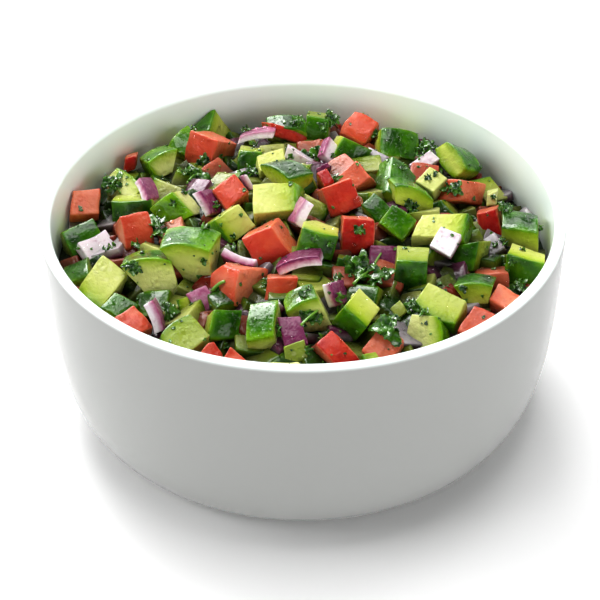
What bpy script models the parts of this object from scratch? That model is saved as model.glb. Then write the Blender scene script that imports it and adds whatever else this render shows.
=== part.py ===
"""Cucumber salad heaped in a round white bowl, in metres with +Z up.

The bowl stands on z = 0 with its axis on the Z axis, and the diner sits on the -Y side. The salad is
one solid core that fills the bowl, with the diced cucumber, tomato, onion and the parsley leaves that
show on top fused to it. Each piece is laid out as the diner sees it: from the corners of the face
turned to the eye, with its depth in millimetres and how far it stands above the heap's smooth dome.
"""
import math
import random

import bmesh
import bpy
from mathutils import Matrix, Vector
from mathutils.bvhtree import BVHTree

MM = 0.001

# Bowl
BOWL_RADIUS = 80 * MM
BOWL_HEIGHT = 70 * MM
WALL = 3.6 * MM
FLOOR = 5 * MM
FLOOR_REACH = 40 * MM
FOOT_RADIUS = 20 * MM
BASE_RADIUS = 58 * MM
LIP_STEPS = 6
SIDE_STEPS = 11
SIDE_GRADING = 2.6
SEGMENTS = 60
SIDE_POWER = 3.2
CORNER_POWER = 9
MERGE = 0.01 * MM

# Salad
CLEARANCE = 0.3 * MM
WALL_GAP = 0.5 * MM
DOME_EDGE = 57 * MM
DOME_RISE = 10 * MM
DOME_RADIUS = 75 * MM
CORE_BELOW_DOME = 6.5 * MM
CORE_RINGS = 7
STAND_OUT = 3 * MM
CUCUMBER_RADIUS = 15 * MM
TOMATO_RADIUS = 20 * MM
ONION_RADIUS = 22 * MM
ROUND_RADIUS = 8 * MM
ARC_STEPS = 4
ARC_LIMIT = 0.98
WEDGE_TAPER = 0.55
FLARE = 1.4
LAYING_ROUNDS = 12
LEAST_RUN = 0.4

# A thin piece slides along the line of sight until some of its points are sunk in what it lies on.
ONION_THICK = 3 * MM
ONION_SINK = 0.8 * MM
SETTLE_START = -6 * MM
SETTLE_END = 20 * MM
SETTLE_STEP = 0.4 * MM
SETTLED_POINTS = 3
LOOK_ABOVE = 60 * MM

# Pieces lower in the heap, on a sunflower spiral wherever the pieces above leave a gap
GAP_SPOTS = 700
GAP_REACH = 70 * MM
GAP_HALF = 2.3 * MM
GAP_SPACING = 8.5 * MM
GAP_BARE_BELOW = 4 * MM
GAP_TOP_BELOW = 1 * MM
GAP_SIZES = (8.5 * MM, 11.5 * MM)
GAP_LEAN = 0.6
GAP_SHARES = (("cucumber", 0.55), ("tomato", 0.8), ("onion", 1))
GAP_SEED = 7
GOLDEN_ANGLE = math.pi * (3 - math.sqrt(5))

# Parsley
LEAF_THICK = 0.9 * MM
LEAF_LOBES = 3
LEAF_POINTS = 12
LEAF_MIDDLE = 0.72
LEAF_REACH = 0.28
LEAF_WAVE = 0.7 * MM
LEAF_TO_EYE = 0.5

# The diner's eye, in the 600 x 600 picture frame: 1600 units of focal length look down at the rim.
EYE_DISTANCE = 489 * MM
EYE_ELEVATION = math.radians(33.3)
FOCAL = 1600
FRAME_MIDDLE = Vector((300, 300))
RIM_MIDDLE = Vector((302.4, 203.7))

# One row for each piece: cut, skin sides, then the face turned to the eye as its corner, the corners
# along and down from it, and the corner behind it, then the piece's depth and its extra height in mm.
CUCUMBER = (
    ("block", "face", (60, 232), (93, 217), (79, 275), (55, 237), 11, -1),
    ("block", "left", (75, 288), (103, 256), (100, 309), (75, 308), 12, 1),
    ("block", "face", (98, 308), (115, 292), (124, 322), (96, 326), 11, -2),
    ("wedge", "top", (121, 266), (170, 262), (144, 305), (124, 256), 12, 1),
    ("wedge", "top", (160, 250), (211, 252), (173, 282), (168, 230), 12, 2),
    ("block", "face", (148, 209), (172, 192), (168, 231), (162, 207), 11, 1),
    ("block", "face", (110, 201), (150, 200), (113, 222), (118, 195), 11, -1),
    ("block", "top", (117, 168), (142, 187), (106, 182), (119, 188), 11, 0),
    ("wedge", "top left", (148, 162), (178, 148), (150, 183), (138, 159), 11, 1),
    ("block", "face", (167, 146), (187, 124), (187, 158), (167, 166), 11, 0),
    ("wedge", "left right", (215, 109), (239, 132), (209, 131), (191, 119), 11, 2),
    ("block", "face", (266, 116), (306, 117), (268, 131), (266, 138), 11, 0),
    ("block", "face", (307, 115), (330, 119), (305, 141), (309, 111), 11, 2),
    ("block", "face", (345, 137), (373, 151), (332, 160), (335, 135), 11, 0),
    ("block", "face", (383, 127), (421, 134), (380, 156), (369, 139), 12, 1),
    ("block", "left right", (434, 150), (447, 142), (453, 178), (452, 155), 9, 2),
    ("block", "", (430, 167), (447, 177), (416, 182), (432, 187), 11, 0),
    ("block", "", (487, 194), (498, 192), (486, 207), (487, 190), 9, -1),
    ("block", "face", (503, 208), (538, 213), (502, 228), (503, 233), 9, 0),
    ("block", "right", (421, 213), (471, 213), (412, 237), (421, 236), 11, 1),
    ("block", "face", (450, 246), (479, 242), (443, 276), (464, 245), 12, -1),
    ("block", "face", (509, 254), (544, 265), (501, 280), (512, 243), 12, 0),
    ("wedge", "top", (452, 287), (492, 286), (456, 305), (456, 277), 10, -1),
    ("block", "bottom", (427, 279), (468, 302), (414, 302), (427, 299), 12, 1),
    ("flared", "right", (411, 313), (437, 315), (410, 348), (424, 319), 11, -1),
    ("block", "face", (397, 260), (429, 262), (393, 290), (398, 244), 11, 0),
    ("block", "face", (302, 228), (337, 237), (295, 252), (304, 217), 12, 2),
    ("block", "face", (378, 223), (392, 202), (403, 241), (376, 231), 12, 2),
    ("block", "top", (397, 187), (435, 200), (396, 204), (387, 177), 12, 1),
    ("block", "face left", (393, 156), (416, 176), (387, 190), (374, 176), 12, 0),
    ("block", "face", (362, 206), (375, 193), (378, 222), (362, 222), 11, -2),
    ("round", "right", (254, 185), (295, 182), (254, 214), (254, 207), 12, 2),
    ("block", "face", (261, 165), (284, 159), (289, 178), (263, 181), 6, 0),
    ("block", "", (256, 155), (283, 147), (259, 172), (256, 173), 10, 0),
    ("block", "face", (290, 179), (309, 172), (300, 198), (288, 173), 11, -1),
    ("block", "face", (238, 150), (262, 152), (237, 172), (240, 145), 11, -1),
    ("block", "left", (214, 219), (239, 203), (231, 243), (204, 224), 12, 1),
    ("block", "face", (281, 297), (312, 283), (286, 313), (298, 326), 11, 1),
    ("block", "left", (178, 300), (190, 297), (178, 314), (179, 296), 10, -4),
    ("block", "top", (159, 340), (192, 313), (178, 362), (159, 362), 12, 1),
    ("block", "face", (214, 309), (244, 309), (208, 340), (203, 316), 12, 0),
    ("block", "face", (250, 305), (278, 300), (245, 341), (257, 330), 12, 1),
    ("block", "", (283, 348), (305, 340), (285, 368), (285, 344), 11, -2),
    ("block", "left", (344, 306), (359, 287), (366, 328), (330, 325), 11, 2),
    ("block", "", (390, 308), (400, 299), (398, 320), (390, 318), 10, -4),
    ("block", "left", (362, 355), (376, 350), (370, 368), (362, 372), 10, -2),
    ("block", "", (268, 362), (300, 361), (270, 380), (268, 382), 10, -1),
)
TOMATO = (
    ("flared", "bottom", (72, 190), (100, 188), (71, 219), (72, 198), 9, 1),
    ("block", "face", (119, 217), (149, 210), (126, 251), (113, 225), 11, 0),
    ("block", "", (110, 319), (133, 304), (130, 341), (110, 339), 11, 0),
    ("block", "face", (125, 159), (136, 156), (124, 173), (127, 155), 9, 0),
    ("block", "face", (191, 130), (218, 141), (181, 162), (211, 131), 12, 2),
    ("block", "face", (268, 122), (306, 133), (272, 136), (260, 121), 11, 1),
    ("block", "face", (337, 131), (355, 110), (364, 143), (337, 148), 11, 2),
    ("block", "face", (438, 180), (463, 178), (434, 203), (462, 186), 12, 1),
    ("block", "face", (476, 213), (497, 209), (482, 243), (478, 208), 10, -1),
    ("block", "", (488, 300), (498, 281), (514, 314), (488, 318), 11, 0),
    ("block", "right", (458, 331), (474, 304), (484, 343), (458, 349), 11, 0),
    ("block", "face", (343, 219), (374, 221), (341, 256), (339, 216), 12, 1),
    ("block", "right", (335, 176), (355, 160), (350, 194), (342, 190), 11, 0),
    ("block", "face", (321, 188), (352, 177), (331, 217), (314, 191), 12, 2),
    ("block", "face", (316, 172), (326, 167), (325, 187), (316, 186), 10, -1),
    ("block", "face", (212, 191), (235, 172), (227, 211), (212, 208), 11, 1),
    ("block", "face", (241, 240), (271, 226), (264, 273), (250, 231), 12, 2),
    ("block", "face", (213, 260), (241, 268), (209, 300), (239, 263), 12, 1),
    ("block", "face", (267, 278), (298, 277), (264, 301), (268, 274), 10, -2),
    ("block", "", (199, 354), (212, 340), (211, 367), (199, 370), 9, -1),
    ("block", "", (221, 359), (231, 347), (237, 371), (221, 375), 9, -1),
    ("block", "face", (314, 343), (331, 327), (345, 377), (306, 356), 12, 0),
    ("block", "right", (362, 352), (383, 320), (384, 372), (362, 368), 11, -1),
)
ONION = (
    ("block", "rear", (77, 243), (107, 228), (90, 263), (75, 249), 3, 2),
    ("block", "right", (143, 305), (152, 300), (155, 335), (147, 302), 9, -1),
    ("block", "face", (140, 177), (151, 176), (148, 199), (134, 183), 3, 0),
    ("block", "top", (240, 137), (275, 131), (237, 145), (242, 132), 9, 0),
    ("block", "left rear", (329, 136), (340, 146), (322, 153), (324, 139), 3, 1),
    ("block", "face", (316, 169), (328, 162), (318, 174), (316, 173), 8, 0),
    ("block", "rear", (408, 164), (430, 150), (418, 173), (409, 168), 3, 1),
    ("block", "right rear", (496, 180), (509, 171), (497, 200), (503, 184), 4, 1),
    ("block", "rear", (430, 246), (441, 225), (451, 256), (430, 250), 3, 4),
    ("block", "face", (371, 245), (398, 247), (369, 266), (370, 249), 3, 1),
    ("block", "left", (306, 199), (315, 206), (293, 222), (300, 196), 8, 3),
    ("block", "right", (287, 146), (314, 163), (284, 157), (288, 143), 7, 2),
    ("block", "left", (241, 175), (247, 174), (250, 191), (239, 177), 7, 1),
    ("block", "face", (199, 190), (211, 189), (213, 213), (192, 195), 3, 2),
    ("block", "bottom", (224, 247), (257, 259), (221, 255), (225, 254), 7, 2),
    ("block", "top", (276, 267), (319, 256), (279, 277), (279, 258), 9, 3),
    ("block", "right", (321, 286), (331, 283), (328, 308), (334, 282), 10, 0),
    ("block", "face", (186, 294), (205, 284), (200, 315), (186, 297), 3, 1),
    ("block", "face", (277, 317), (301, 316), (284, 346), (277, 321), 3, 1),
)
# Parsley leaves: where the eye sees each one, its width in mm and its turn in degrees.
PARSLEY = (
    ((158, 229), 8, 20),
    ((116, 182), 8, 80),
    ((196, 178), 9, 140),
    ((330, 119), 6, 10),
    ((424, 152), 9, 60),
    ((358, 268), 10, 30),
    ((378, 278), 9, 190),
    ((312, 157), 7, 100),
    ((308, 318), 8, 50),
    ((388, 330), 9, 120),
    ((132, 268), 5, 0),
    ((169, 314), 6, 70),
    ((251, 175), 7, 150),
    ((504, 209), 5, 20),
)

# Which way each side of a piece faces: an axis of the piece (0 along, 1 down, 2 behind) and an end.
SIDES = {"left": (0, 0), "right": (0, 1), "top": (1, 0), "bottom": (1, 1), "face": (2, 0), "rear": (2, 1)}


def clear_scene():
    for item in list(bpy.data.objects):
        bpy.data.objects.remove(item, do_unlink=True)


def material(name, colour, roughness, metallic=0.0):
    made = bpy.data.materials.new(name)
    made.use_nodes = True
    shader = made.node_tree.nodes["Principled BSDF"]
    shader.inputs["Base Color"].default_value = (*colour, 1)
    shader.inputs["Roughness"].default_value = roughness
    shader.inputs["Metallic"].default_value = metallic
    return made


def side_radius(height, top_height, low_radius, top_radius):
    """Radius of a steep side that turns in sharply at its foot; height 0 is the foot."""
    share = min(max(height / top_height, 0), 1)
    return low_radius + (top_radius - low_radius) * (1 - (1 - share) ** SIDE_POWER) ** (1 / CORNER_POWER)


def outer_radius(z):
    return side_radius(z, BOWL_HEIGHT, FOOT_RADIUS, BOWL_RADIUS)


def inner_radius(z):
    return side_radius(z - FLOOR, BOWL_HEIGHT - FLOOR, 0, BOWL_RADIUS - WALL)


def side_heights(low, high):
    """Heights from low to high, closest together at the foot, where the side bends most."""
    return [low + (high - low) * (step / SIDE_STEPS) ** SIDE_GRADING for step in range(1, SIDE_STEPS + 1)]


def bowl_outline():
    """Half section of the bowl, from the middle of its floor inside, over the lip, to its base."""
    lip = WALL / 2
    inside = [(0, FLOOR), (FLOOR_REACH, FLOOR)]
    inside += [(inner_radius(z), z) for z in side_heights(FLOOR, BOWL_HEIGHT - lip)]
    middle = BOWL_RADIUS - lip
    turns = [math.pi * (1 - step / LIP_STEPS) for step in range(1, LIP_STEPS)]
    over = [(middle + lip * math.cos(turn), BOWL_HEIGHT - lip + lip * math.sin(turn)) for turn in turns]
    heights = side_heights(0, BOWL_HEIGHT - lip)
    outside = [(outer_radius(z), z) for z in reversed(heights)]
    return inside + over + outside + [(BASE_RADIUS, 0), (0, 0)]


def dome(x, y):
    """Height of the heap's smooth dome."""
    return DOME_EDGE + DOME_RISE * (1 - (x * x + y * y) / DOME_RADIUS ** 2)


def core_outline():
    """Half section of the salad's core: its domed top, then down along the bowl's inside."""
    rim_height = DOME_EDGE - CORE_BELOW_DOME
    reach = inner_radius(rim_height) - CLEARANCE
    steps = [reach * ring / CORE_RINGS for ring in range(CORE_RINGS + 1)]
    top = [(r, dome(r, 0) - CORE_BELOW_DOME) for r in steps]
    top[-1] = (reach, rim_height)
    heights = reversed(side_heights(FLOOR, rim_height)[:-1])
    side = [(inner_radius(z) - CLEARANCE, z + CLEARANCE) for z in heights]
    return top + side + [(FLOOR_REACH, FLOOR + CLEARANCE), (0, FLOOR + CLEARANCE)]


def turned(name, outline, look):
    """A solid turned about Z from a half section that runs down its outer side."""
    mesh = bpy.data.meshes.new(name)
    edges = [(index, index + 1) for index in range(len(outline) - 1)]
    mesh.from_pydata([(r, 0, z) for r, z in outline], edges, [])
    made = bpy.data.objects.new(name, mesh)
    bpy.context.scene.collection.objects.link(made)
    screw = made.modifiers.new("turn", "SCREW")
    screw.steps = SEGMENTS
    screw.render_steps = SEGMENTS
    screw.use_merge_vertices = True
    screw.merge_threshold = MERGE
    screw.use_smooth_shade = True
    mesh.materials.append(look)
    return made


def eye_frame():
    """The eye's place, and the directions to its right, up and back towards it."""
    out = Vector((0, -math.cos(EYE_ELEVATION), math.sin(EYE_ELEVATION)))
    right = Vector((1, 0, 0))
    up = out.cross(right)
    eye = Vector((0, 0, BOWL_HEIGHT)) + out * EYE_DISTANCE
    offset = (RIM_MIDDLE - FRAME_MIDDLE) / FOCAL
    seen = Vector((offset.x, -offset.y, -1)).normalized()
    turn = Vector((0, 0, -1)).rotation_difference(seen).to_matrix()
    axes = turn @ Matrix((right, up, out))
    return eye, axes[0].copy(), axes[1].copy(), axes[2].copy()


EYE, RIGHT, UP, OUT = eye_frame()


def sight(seen):
    """Direction in which the eye sees a point of the frame."""
    offset = (Vector(seen) - FRAME_MIDDLE) / FOCAL
    return (offset.x * RIGHT - offset.y * UP - OUT).normalized()


def across(shift, scale):
    """A shift in the frame as a vector square to the eye's axis."""
    return (shift.x * RIGHT - shift.y * UP) / scale


def leaned(shift, scale, ray, normal):
    """A shift in the frame as the vector in a face's plane that looks the same to the eye."""
    flat = across(shift, scale)
    return flat - ray * (flat.dot(normal) / ray.dot(normal))


def laid(row):
    """Corner of a piece's face and its three edge vectors, with the piece lying on the dome."""
    corner, along, down, behind = (Vector(seen) for seen in row[2:6])
    depth = row[6] * MM
    ray = sight((along + down) / 2)
    place = EYE + ray * ((DOME_EDGE + DOME_RISE - EYE.z) / ray.z)
    stand = STAND_OUT + row[7] * MM
    for _ in range(LAYING_ROUNDS):
        scale = FOCAL / (EYE - place).dot(OUT)
        back = across(behind - corner, scale)
        run = math.sqrt(max(depth ** 2 - back.length_squared, (LEAST_RUN * depth) ** 2))
        w = (back + run * ray).normalized() * depth
        normal = -w.normalized()
        u = leaned(along - corner, scale, ray, normal)
        v = leaned(down - corner, scale, ray, normal)
        ends = [i * u + j * v + k * w for i in (-0.5, 0.5) for j in (-0.5, 0.5) for k in (0, 1)]
        height = dome(place.x, place.y) + stand - max(end.z for end in ends)
        place = EYE + ray * ((height - EYE.z) / ray.z)
    return place - u / 2 - v / 2, (u, v, w), ray


def kept_inside(point):
    """A point pulled in to clear the bowl's side."""
    reach = math.hypot(point.x, point.y)
    limit = inner_radius(point.z) - WALL_GAP
    if reach <= limit:
        return point
    return Vector((point.x * limit / reach, point.y * limit / reach, point.z))


def grain_axis(cut, skins, edges):
    """Axis along which a piece keeps one section: one that neither its skins nor its flare use."""
    used = {SIDES[skin][0] for skin in skins}
    if cut == "flared":
        used.add(1)
    free = [axis for axis in range(3) if axis not in used]
    return min(free, key=lambda axis: edges[axis].length)


def section_corners(cut, skins, p, q):
    """The four corners of a piece's section, as shares of its axes p and q, tapered by its cut."""
    corners = {(i, j): [i, j] for i in (0, 1) for j in (0, 1)}
    if cut == "flared":
        downward = (p, q).index(1)
        for key, place in corners.items():
            if key[downward]:
                place[1 - downward] = 0.5 + (place[1 - downward] - 0.5) * FLARE
    if cut == "wedge":
        facing, end = SIDES[skins[0]]
        side = 0 if facing == p else 1
        for key, place in corners.items():
            if key[side] != end:
                place[1 - side] = 0.5 + (place[1 - side] - 0.5) * WEDGE_TAPER
    return corners


def bulge(length, radius):
    """How far an arc of a given radius stands out over a straight side."""
    half = min(length / 2, radius * ARC_LIMIT)
    return radius - math.sqrt(radius ** 2 - half ** 2)


def section(cut, skins, edges, p, q, radius, plate):
    """Outline of a piece's section in shares of its axes p and q, with its skin sides as arcs.

    A plate, such as a piece of an onion's layer, has its other side hollowed by the same arc.
    """
    corners = section_corners(cut, skins, p, q)
    loop = [(0, 0), (1, 0), (1, 1), (0, 1)]
    outline = []
    for index, start in enumerate(loop):
        end = loop[(index + 1) % 4]
        first, last = corners[start], corners[end]
        runs = 0 if start[0] != end[0] else 1
        faces = 1 - runs
        axis, which = (p, q)[faces], start[faces]
        side = {value: key for key, value in SIDES.items()}[(axis, which)]
        other = {value: key for key, value in SIDES.items()}[(axis, 1 - which)]
        length = edges[(p, q)[runs]].length
        rise = bulge(length, radius) / edges[axis].length
        outward = 1 if which else -1
        if side not in skins:
            rise = -rise if plate and other in skins else 0
        steps = ARC_STEPS if rise else 1
        for step in range(steps):
            share = step / steps
            place = [a + (b - a) * share for a, b in zip(first, last)]
            place[faces] += outward * rise * (1 - (2 * share - 1) ** 2)
            outline.append(place)
    return outline


def piece_mesh(name, row, radius, plate=False, slide=0.0):
    """One diced piece that shows, slid along the line of sight by a given length."""
    corner, edges, ray = laid(row)
    cut, skins = row[0], row[1].split()
    if cut == "round":
        radius = ROUND_RADIUS
    return prism_mesh(name, corner + ray * slide, edges, cut, skins, radius, plate)


def prism_mesh(name, corner, edges, cut, skins, radius, plate):
    """A piece with three given edges from its corner, as a closed prism along its grain."""
    grain = grain_axis(cut, skins, edges)
    p, q = (axis for axis in range(3) if axis != grain)
    outline = section(cut, skins, edges, p, q, radius, plate)
    shape = bmesh.new()
    ring = [shape.verts.new(corner + i * edges[p] + j * edges[q]) for i, j in outline]
    face = shape.faces.new(ring)
    extruded = bmesh.ops.extrude_face_region(shape, geom=[face], use_keep_orig=True)
    moved = [item for item in extruded["geom"] if isinstance(item, bmesh.types.BMVert)]
    bmesh.ops.translate(shape, verts=moved, vec=edges[grain])
    for vert in shape.verts:
        vert.co = kept_inside(vert.co)
    bmesh.ops.triangulate(shape, faces=shape.faces[:])
    bmesh.ops.recalc_face_normals(shape, faces=shape.faces[:])
    mesh = bpy.data.meshes.new(name)
    shape.to_mesh(mesh)
    shape.free()
    return mesh


def support(meshes):
    """A search tree over several meshes together."""
    joined = bmesh.new()
    for mesh in meshes:
        joined.from_mesh(mesh)
    tree = BVHTree.FromBMesh(joined)
    joined.free()
    return tree


def below_surface(tree, point):
    """How far a point is under whatever lies above it, or 0 in the open."""
    hit = tree.ray_cast(point + Vector((0, 0, LOOK_ABOVE)), Vector((0, 0, -1)), LOOK_ABOVE)
    if hit[0] is None:
        return 0
    return hit[0].z - point.z


def settled_slide(row, tree):
    """Slide along the line of sight that sets a thin plate down on the pieces under it."""
    corner, (u, v, w), ray = laid(row)
    shares = [(i, j, k) for i in (0, 0.5, 1) for j in (0, 0.5, 1) for k in (0, 1)]
    slide = SETTLE_START
    while slide < SETTLE_END:
        points = [corner + ray * slide + i * u + j * v + k * w for i, j, k in shares]
        sunk = sum(below_surface(tree, point) > ONION_SINK for point in points)
        if sunk >= SETTLED_POINTS:
            break
        slide += SETTLE_STEP
    return slide


def leaf_mesh(name, row, index, tree):
    """One parsley leaf: a thin wavy lobed plate lying where the eye sees it."""
    seen, width, turn = row
    ray = sight(seen)
    place, normal = tree.ray_cast(EYE, ray)[:2]
    if normal.dot(ray) > 0:
        normal = -normal
    up = (normal + Vector((0, 0, 1)) - ray * LEAF_TO_EYE).normalized()
    lie = up.to_track_quat("Z", "Y").to_matrix() @ Matrix.Rotation(math.radians(turn), 3, "Z")
    shape = bmesh.new()
    draw = random.Random(index)
    waves = [draw.uniform(-1, 1) * LEAF_WAVE for _ in range(LEAF_POINTS)]
    layers = []
    for height in (LEAF_THICK / 2, -LEAF_THICK / 2):
        middle = shape.verts.new(place + lie @ Vector((0, 0, height)))
        ring = []
        for point, wave in enumerate(waves):
            angle = math.tau * point / LEAF_POINTS
            reach = width / 2 * MM * (LEAF_MIDDLE + LEAF_REACH * math.cos(LEAF_LOBES * angle))
            ring.append((reach * math.cos(angle), reach * math.sin(angle), height + wave))
        layers.append((middle, [shape.verts.new(place + lie @ Vector(spot)) for spot in ring]))
    (upper, upper_ring), (lower, lower_ring) = layers
    for point in range(LEAF_POINTS):
        after = (point + 1) % LEAF_POINTS
        shape.faces.new((upper, upper_ring[point], upper_ring[after]))
        shape.faces.new((lower, lower_ring[after], lower_ring[point]))
        shape.faces.new((upper_ring[after], upper_ring[point], lower_ring[point], lower_ring[after]))
    for vert in shape.verts:
        vert.co = kept_inside(vert.co)
    bmesh.ops.triangulate(shape, faces=shape.faces[:])
    mesh = bpy.data.meshes.new(name)
    shape.to_mesh(mesh)
    shape.free()
    return mesh


def is_bare(tree, x, y):
    """Whether nothing but the core lies around a spot, looking straight down."""
    for i in (-GAP_HALF, 0, GAP_HALF):
        for j in (-GAP_HALF, 0, GAP_HALF):
            hit = tree.ray_cast(Vector((x + i, y + j, 2 * BOWL_HEIGHT)), Vector((0, 0, -1)))[0]
            if hit is None or hit.z > dome(x, y) - GAP_BARE_BELOW:
                return False
    return True


def gap_spots(tree):
    """Spots of the spiral where the heap is bare, apart from each other."""
    spots = []
    for index in range(GAP_SPOTS):
        reach = GAP_REACH * math.sqrt((index + 0.5) / GAP_SPOTS)
        x, y = reach * math.cos(index * GOLDEN_ANGLE), reach * math.sin(index * GOLDEN_ANGLE)
        near = any(math.hypot(x - a, y - b) < GAP_SPACING for a, b in spots)
        if not near and is_bare(tree, x, y):
            spots.append((x, y))
    return spots


def gap_piece(draw, x, y):
    """Kind, corner and edges of a piece lower in the heap, turned at random."""
    lot = draw.random()
    kind = next(name for name, share in GAP_SHARES if lot < share)
    turn = Matrix.Rotation(draw.uniform(0, math.tau), 3, "Z")
    lean = Matrix.Rotation(draw.uniform(-GAP_LEAN, GAP_LEAN), 3, "X")
    roll = Matrix.Rotation(draw.uniform(-GAP_LEAN, GAP_LEAN), 3, "Y")
    axes = (turn @ lean @ roll).transposed()
    edges = [axes[axis] * draw.uniform(*GAP_SIZES) for axis in range(3)]
    if kind == "onion":
        edges[2] = axes[2] * ONION_THICK
    middle = sum(edges, Vector()) / 2
    high = max((i * edges[0] + j * edges[1] + k * edges[2]).z for i in (0, 1) for j in (0, 1) for k in (0, 1))
    place = Vector((x, y, dome(x, y) - GAP_TOP_BELOW - high + middle.z))
    return kind, place - middle, edges


def gap_meshes(tree):
    draw = random.Random(GAP_SEED)
    meshes = []
    for x, y in gap_spots(tree):
        kind, corner, edges = gap_piece(draw, x, y)
        meshes.append(prism_mesh(kind, corner, edges, "block", [], CUCUMBER_RADIUS, False))
    return meshes


def evaluated_mesh(made):
    graph = bpy.context.evaluated_depsgraph_get()
    return bpy.data.meshes.new_from_object(made.evaluated_get(graph))


def heap_meshes(core_mesh):
    """The meshes of all the pieces on top of the core."""
    meshes = [piece_mesh("cucumber", row, CUCUMBER_RADIUS) for row in CUCUMBER]
    meshes += [piece_mesh("tomato", row, TOMATO_RADIUS) for row in TOMATO]
    tree = support(meshes + [core_mesh])
    for row in ONION:
        meshes.append(piece_mesh("onion", row, ONION_RADIUS, True, settled_slide(row, tree)))
    meshes += gap_meshes(support(meshes + [core_mesh]))
    tree = support(meshes + [core_mesh])
    meshes += [leaf_mesh("parsley", row, index, tree) for index, row in enumerate(PARSLEY)]
    return meshes


def islands(shape):
    """The separate closed shells of a mesh, as lists of faces."""
    left = set(shape.faces)
    shells = []
    while left:
        shell = [left.pop()]
        for face in shell:
            for edge in face.edges:
                for near in edge.link_faces:
                    if near in left:
                        left.remove(near)
                        shell.append(near)
        shells.append(shell)
    return shells


def keep_main_shell(mesh):
    """Drop loose scraps and fill sealed hollows, which are all shells but the largest."""
    shape = bmesh.new()
    shape.from_mesh(mesh)
    shells = sorted(islands(shape), key=len)
    scraps = [face for shell in shells[:-1] for face in shell]
    bmesh.ops.delete(shape, geom=scraps, context="FACES")
    shape.to_mesh(mesh)
    shape.free()


def make_salad(look):
    """The core with every piece that shows fused on by one union."""
    salad = turned("salad", core_outline(), look)
    pieces = bpy.data.collections.new("pieces")
    bpy.context.scene.collection.children.link(pieces)
    for mesh in heap_meshes(evaluated_mesh(salad)):
        pieces.objects.link(bpy.data.objects.new(mesh.name, mesh))
    union = salad.modifiers.new("fuse", "BOOLEAN")
    union.operation = "UNION"
    union.operand_type = "COLLECTION"
    union.collection = pieces
    union.solver = "MANIFOLD"
    fused = evaluated_mesh(salad)
    salad.modifiers.clear()
    salad.data = fused
    for item in list(pieces.objects):
        bpy.data.objects.remove(item, do_unlink=True)
    bpy.data.collections.remove(pieces)
    keep_main_shell(fused)
    return salad


def make_bowl(look):
    return turned("bowl", bowl_outline(), look)


def main():
    clear_scene()
    make_bowl(material("white glaze", (0.86, 0.85, 0.83), 0.12))
    make_salad(material("cucumber salad", (0.42, 0.47, 0.12), 0.35))


main()
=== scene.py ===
"""Cucumber salad in a round white bowl: the finish of the bowl and the diced vegetables, leaves and
dressing that make up the heap.

The script is laid out as a Blender add-on and is run as a script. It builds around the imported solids
of the bowl and the salad, in metres, with +Z up and the diner on the -Y side. The pieces that show
are laid out as the diner sees them, by the same rows and rules as in the solids' own source.
"""

import functools
import math
import random

import bmesh
import bpy
import numpy as np
from bpy.props import FloatProperty, FloatVectorProperty, IntProperty, PointerProperty
from mathutils import Matrix, Vector, noise
from mathutils.bvhtree import BVHTree


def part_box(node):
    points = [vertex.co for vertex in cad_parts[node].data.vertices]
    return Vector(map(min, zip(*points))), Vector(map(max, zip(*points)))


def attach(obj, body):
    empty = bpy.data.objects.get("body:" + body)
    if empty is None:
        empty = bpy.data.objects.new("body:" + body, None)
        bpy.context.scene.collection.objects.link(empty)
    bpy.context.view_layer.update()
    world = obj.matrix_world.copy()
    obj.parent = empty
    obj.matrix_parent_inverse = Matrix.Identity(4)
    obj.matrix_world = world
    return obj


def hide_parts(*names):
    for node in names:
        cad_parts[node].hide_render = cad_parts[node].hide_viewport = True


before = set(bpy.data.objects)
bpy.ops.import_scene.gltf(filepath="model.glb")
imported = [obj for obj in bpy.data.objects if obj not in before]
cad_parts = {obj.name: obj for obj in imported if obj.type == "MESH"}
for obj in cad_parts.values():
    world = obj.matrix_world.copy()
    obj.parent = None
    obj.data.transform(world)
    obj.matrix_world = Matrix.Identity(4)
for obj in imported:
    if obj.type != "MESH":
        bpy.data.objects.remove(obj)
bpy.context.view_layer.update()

bl_info = {
    "name": "Cucumber salad bowl",
    "version": (1, 0, 0),
    "blender": (4, 5, 0),
    "location": "3D View > Sidebar > Salad",
    "description": "Builds a bowl of cucumber salad with its diced vegetables, leaves and dressing",
    "category": "Add Mesh",
}

BODY = "root"
MM = 0.001

# Bowl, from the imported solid
BOWL_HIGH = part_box("bowl")[1]
BOWL_RADIUS = BOWL_HIGH.x
BOWL_HEIGHT = BOWL_HIGH.z
WALL = 3.6 * MM
FLOOR = 5 * MM
FOOT_RADIUS = 20 * MM
BASE_RADIUS = 58 * MM
SIDE_GRADING = 2.6
SIDE_POWER = 3.2
CORNER_POWER = 9

# Salad, as in the solids' own source
CLEARANCE = 0.3 * MM
WALL_GAP = 0.5 * MM
DOME_EDGE = 57 * MM
DOME_RISE = 10 * MM
DOME_RADIUS = 75 * MM
CORE_BELOW_DOME = 6.5 * MM
STAND_OUT = 3 * MM
SKIN_RADIUS = {"cucumber": 15 * MM, "tomato": 20 * MM, "onion": 22 * MM}
ROUND_RADIUS = 8 * MM
ARC_STEPS = 4
ARC_LIMIT = 0.98
LAYING_ROUNDS = 12
LEAST_RUN = 0.4
WEDGE_TAPER = 0.55
FLARE = 1.4
ONION_THICK = 3 * MM
ONION_SINK = 0.8 * MM
SETTLE_START = -6 * MM
SETTLE_END = 20 * MM
SETTLE_STEP = 0.4 * MM
SETTLED_POINTS = 3
LOOK_ABOVE = 60 * MM
PLAIN_CORE_SIDES = 60
PLAIN_CORE_RINGS = 7
GAP_SPOTS = 700
GAP_REACH = 70 * MM
GAP_HALF = 2.3 * MM
GAP_SPACING = 8.5 * MM
GAP_BARE_BELOW = 4 * MM
GAP_TOP_BELOW = 1 * MM
GAP_SIZES = (8.5 * MM, 11.5 * MM)
GAP_LEAN = 0.6
GAP_SHARES = (("cucumber", 0.55), ("tomato", 0.8), ("onion", 1))
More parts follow.
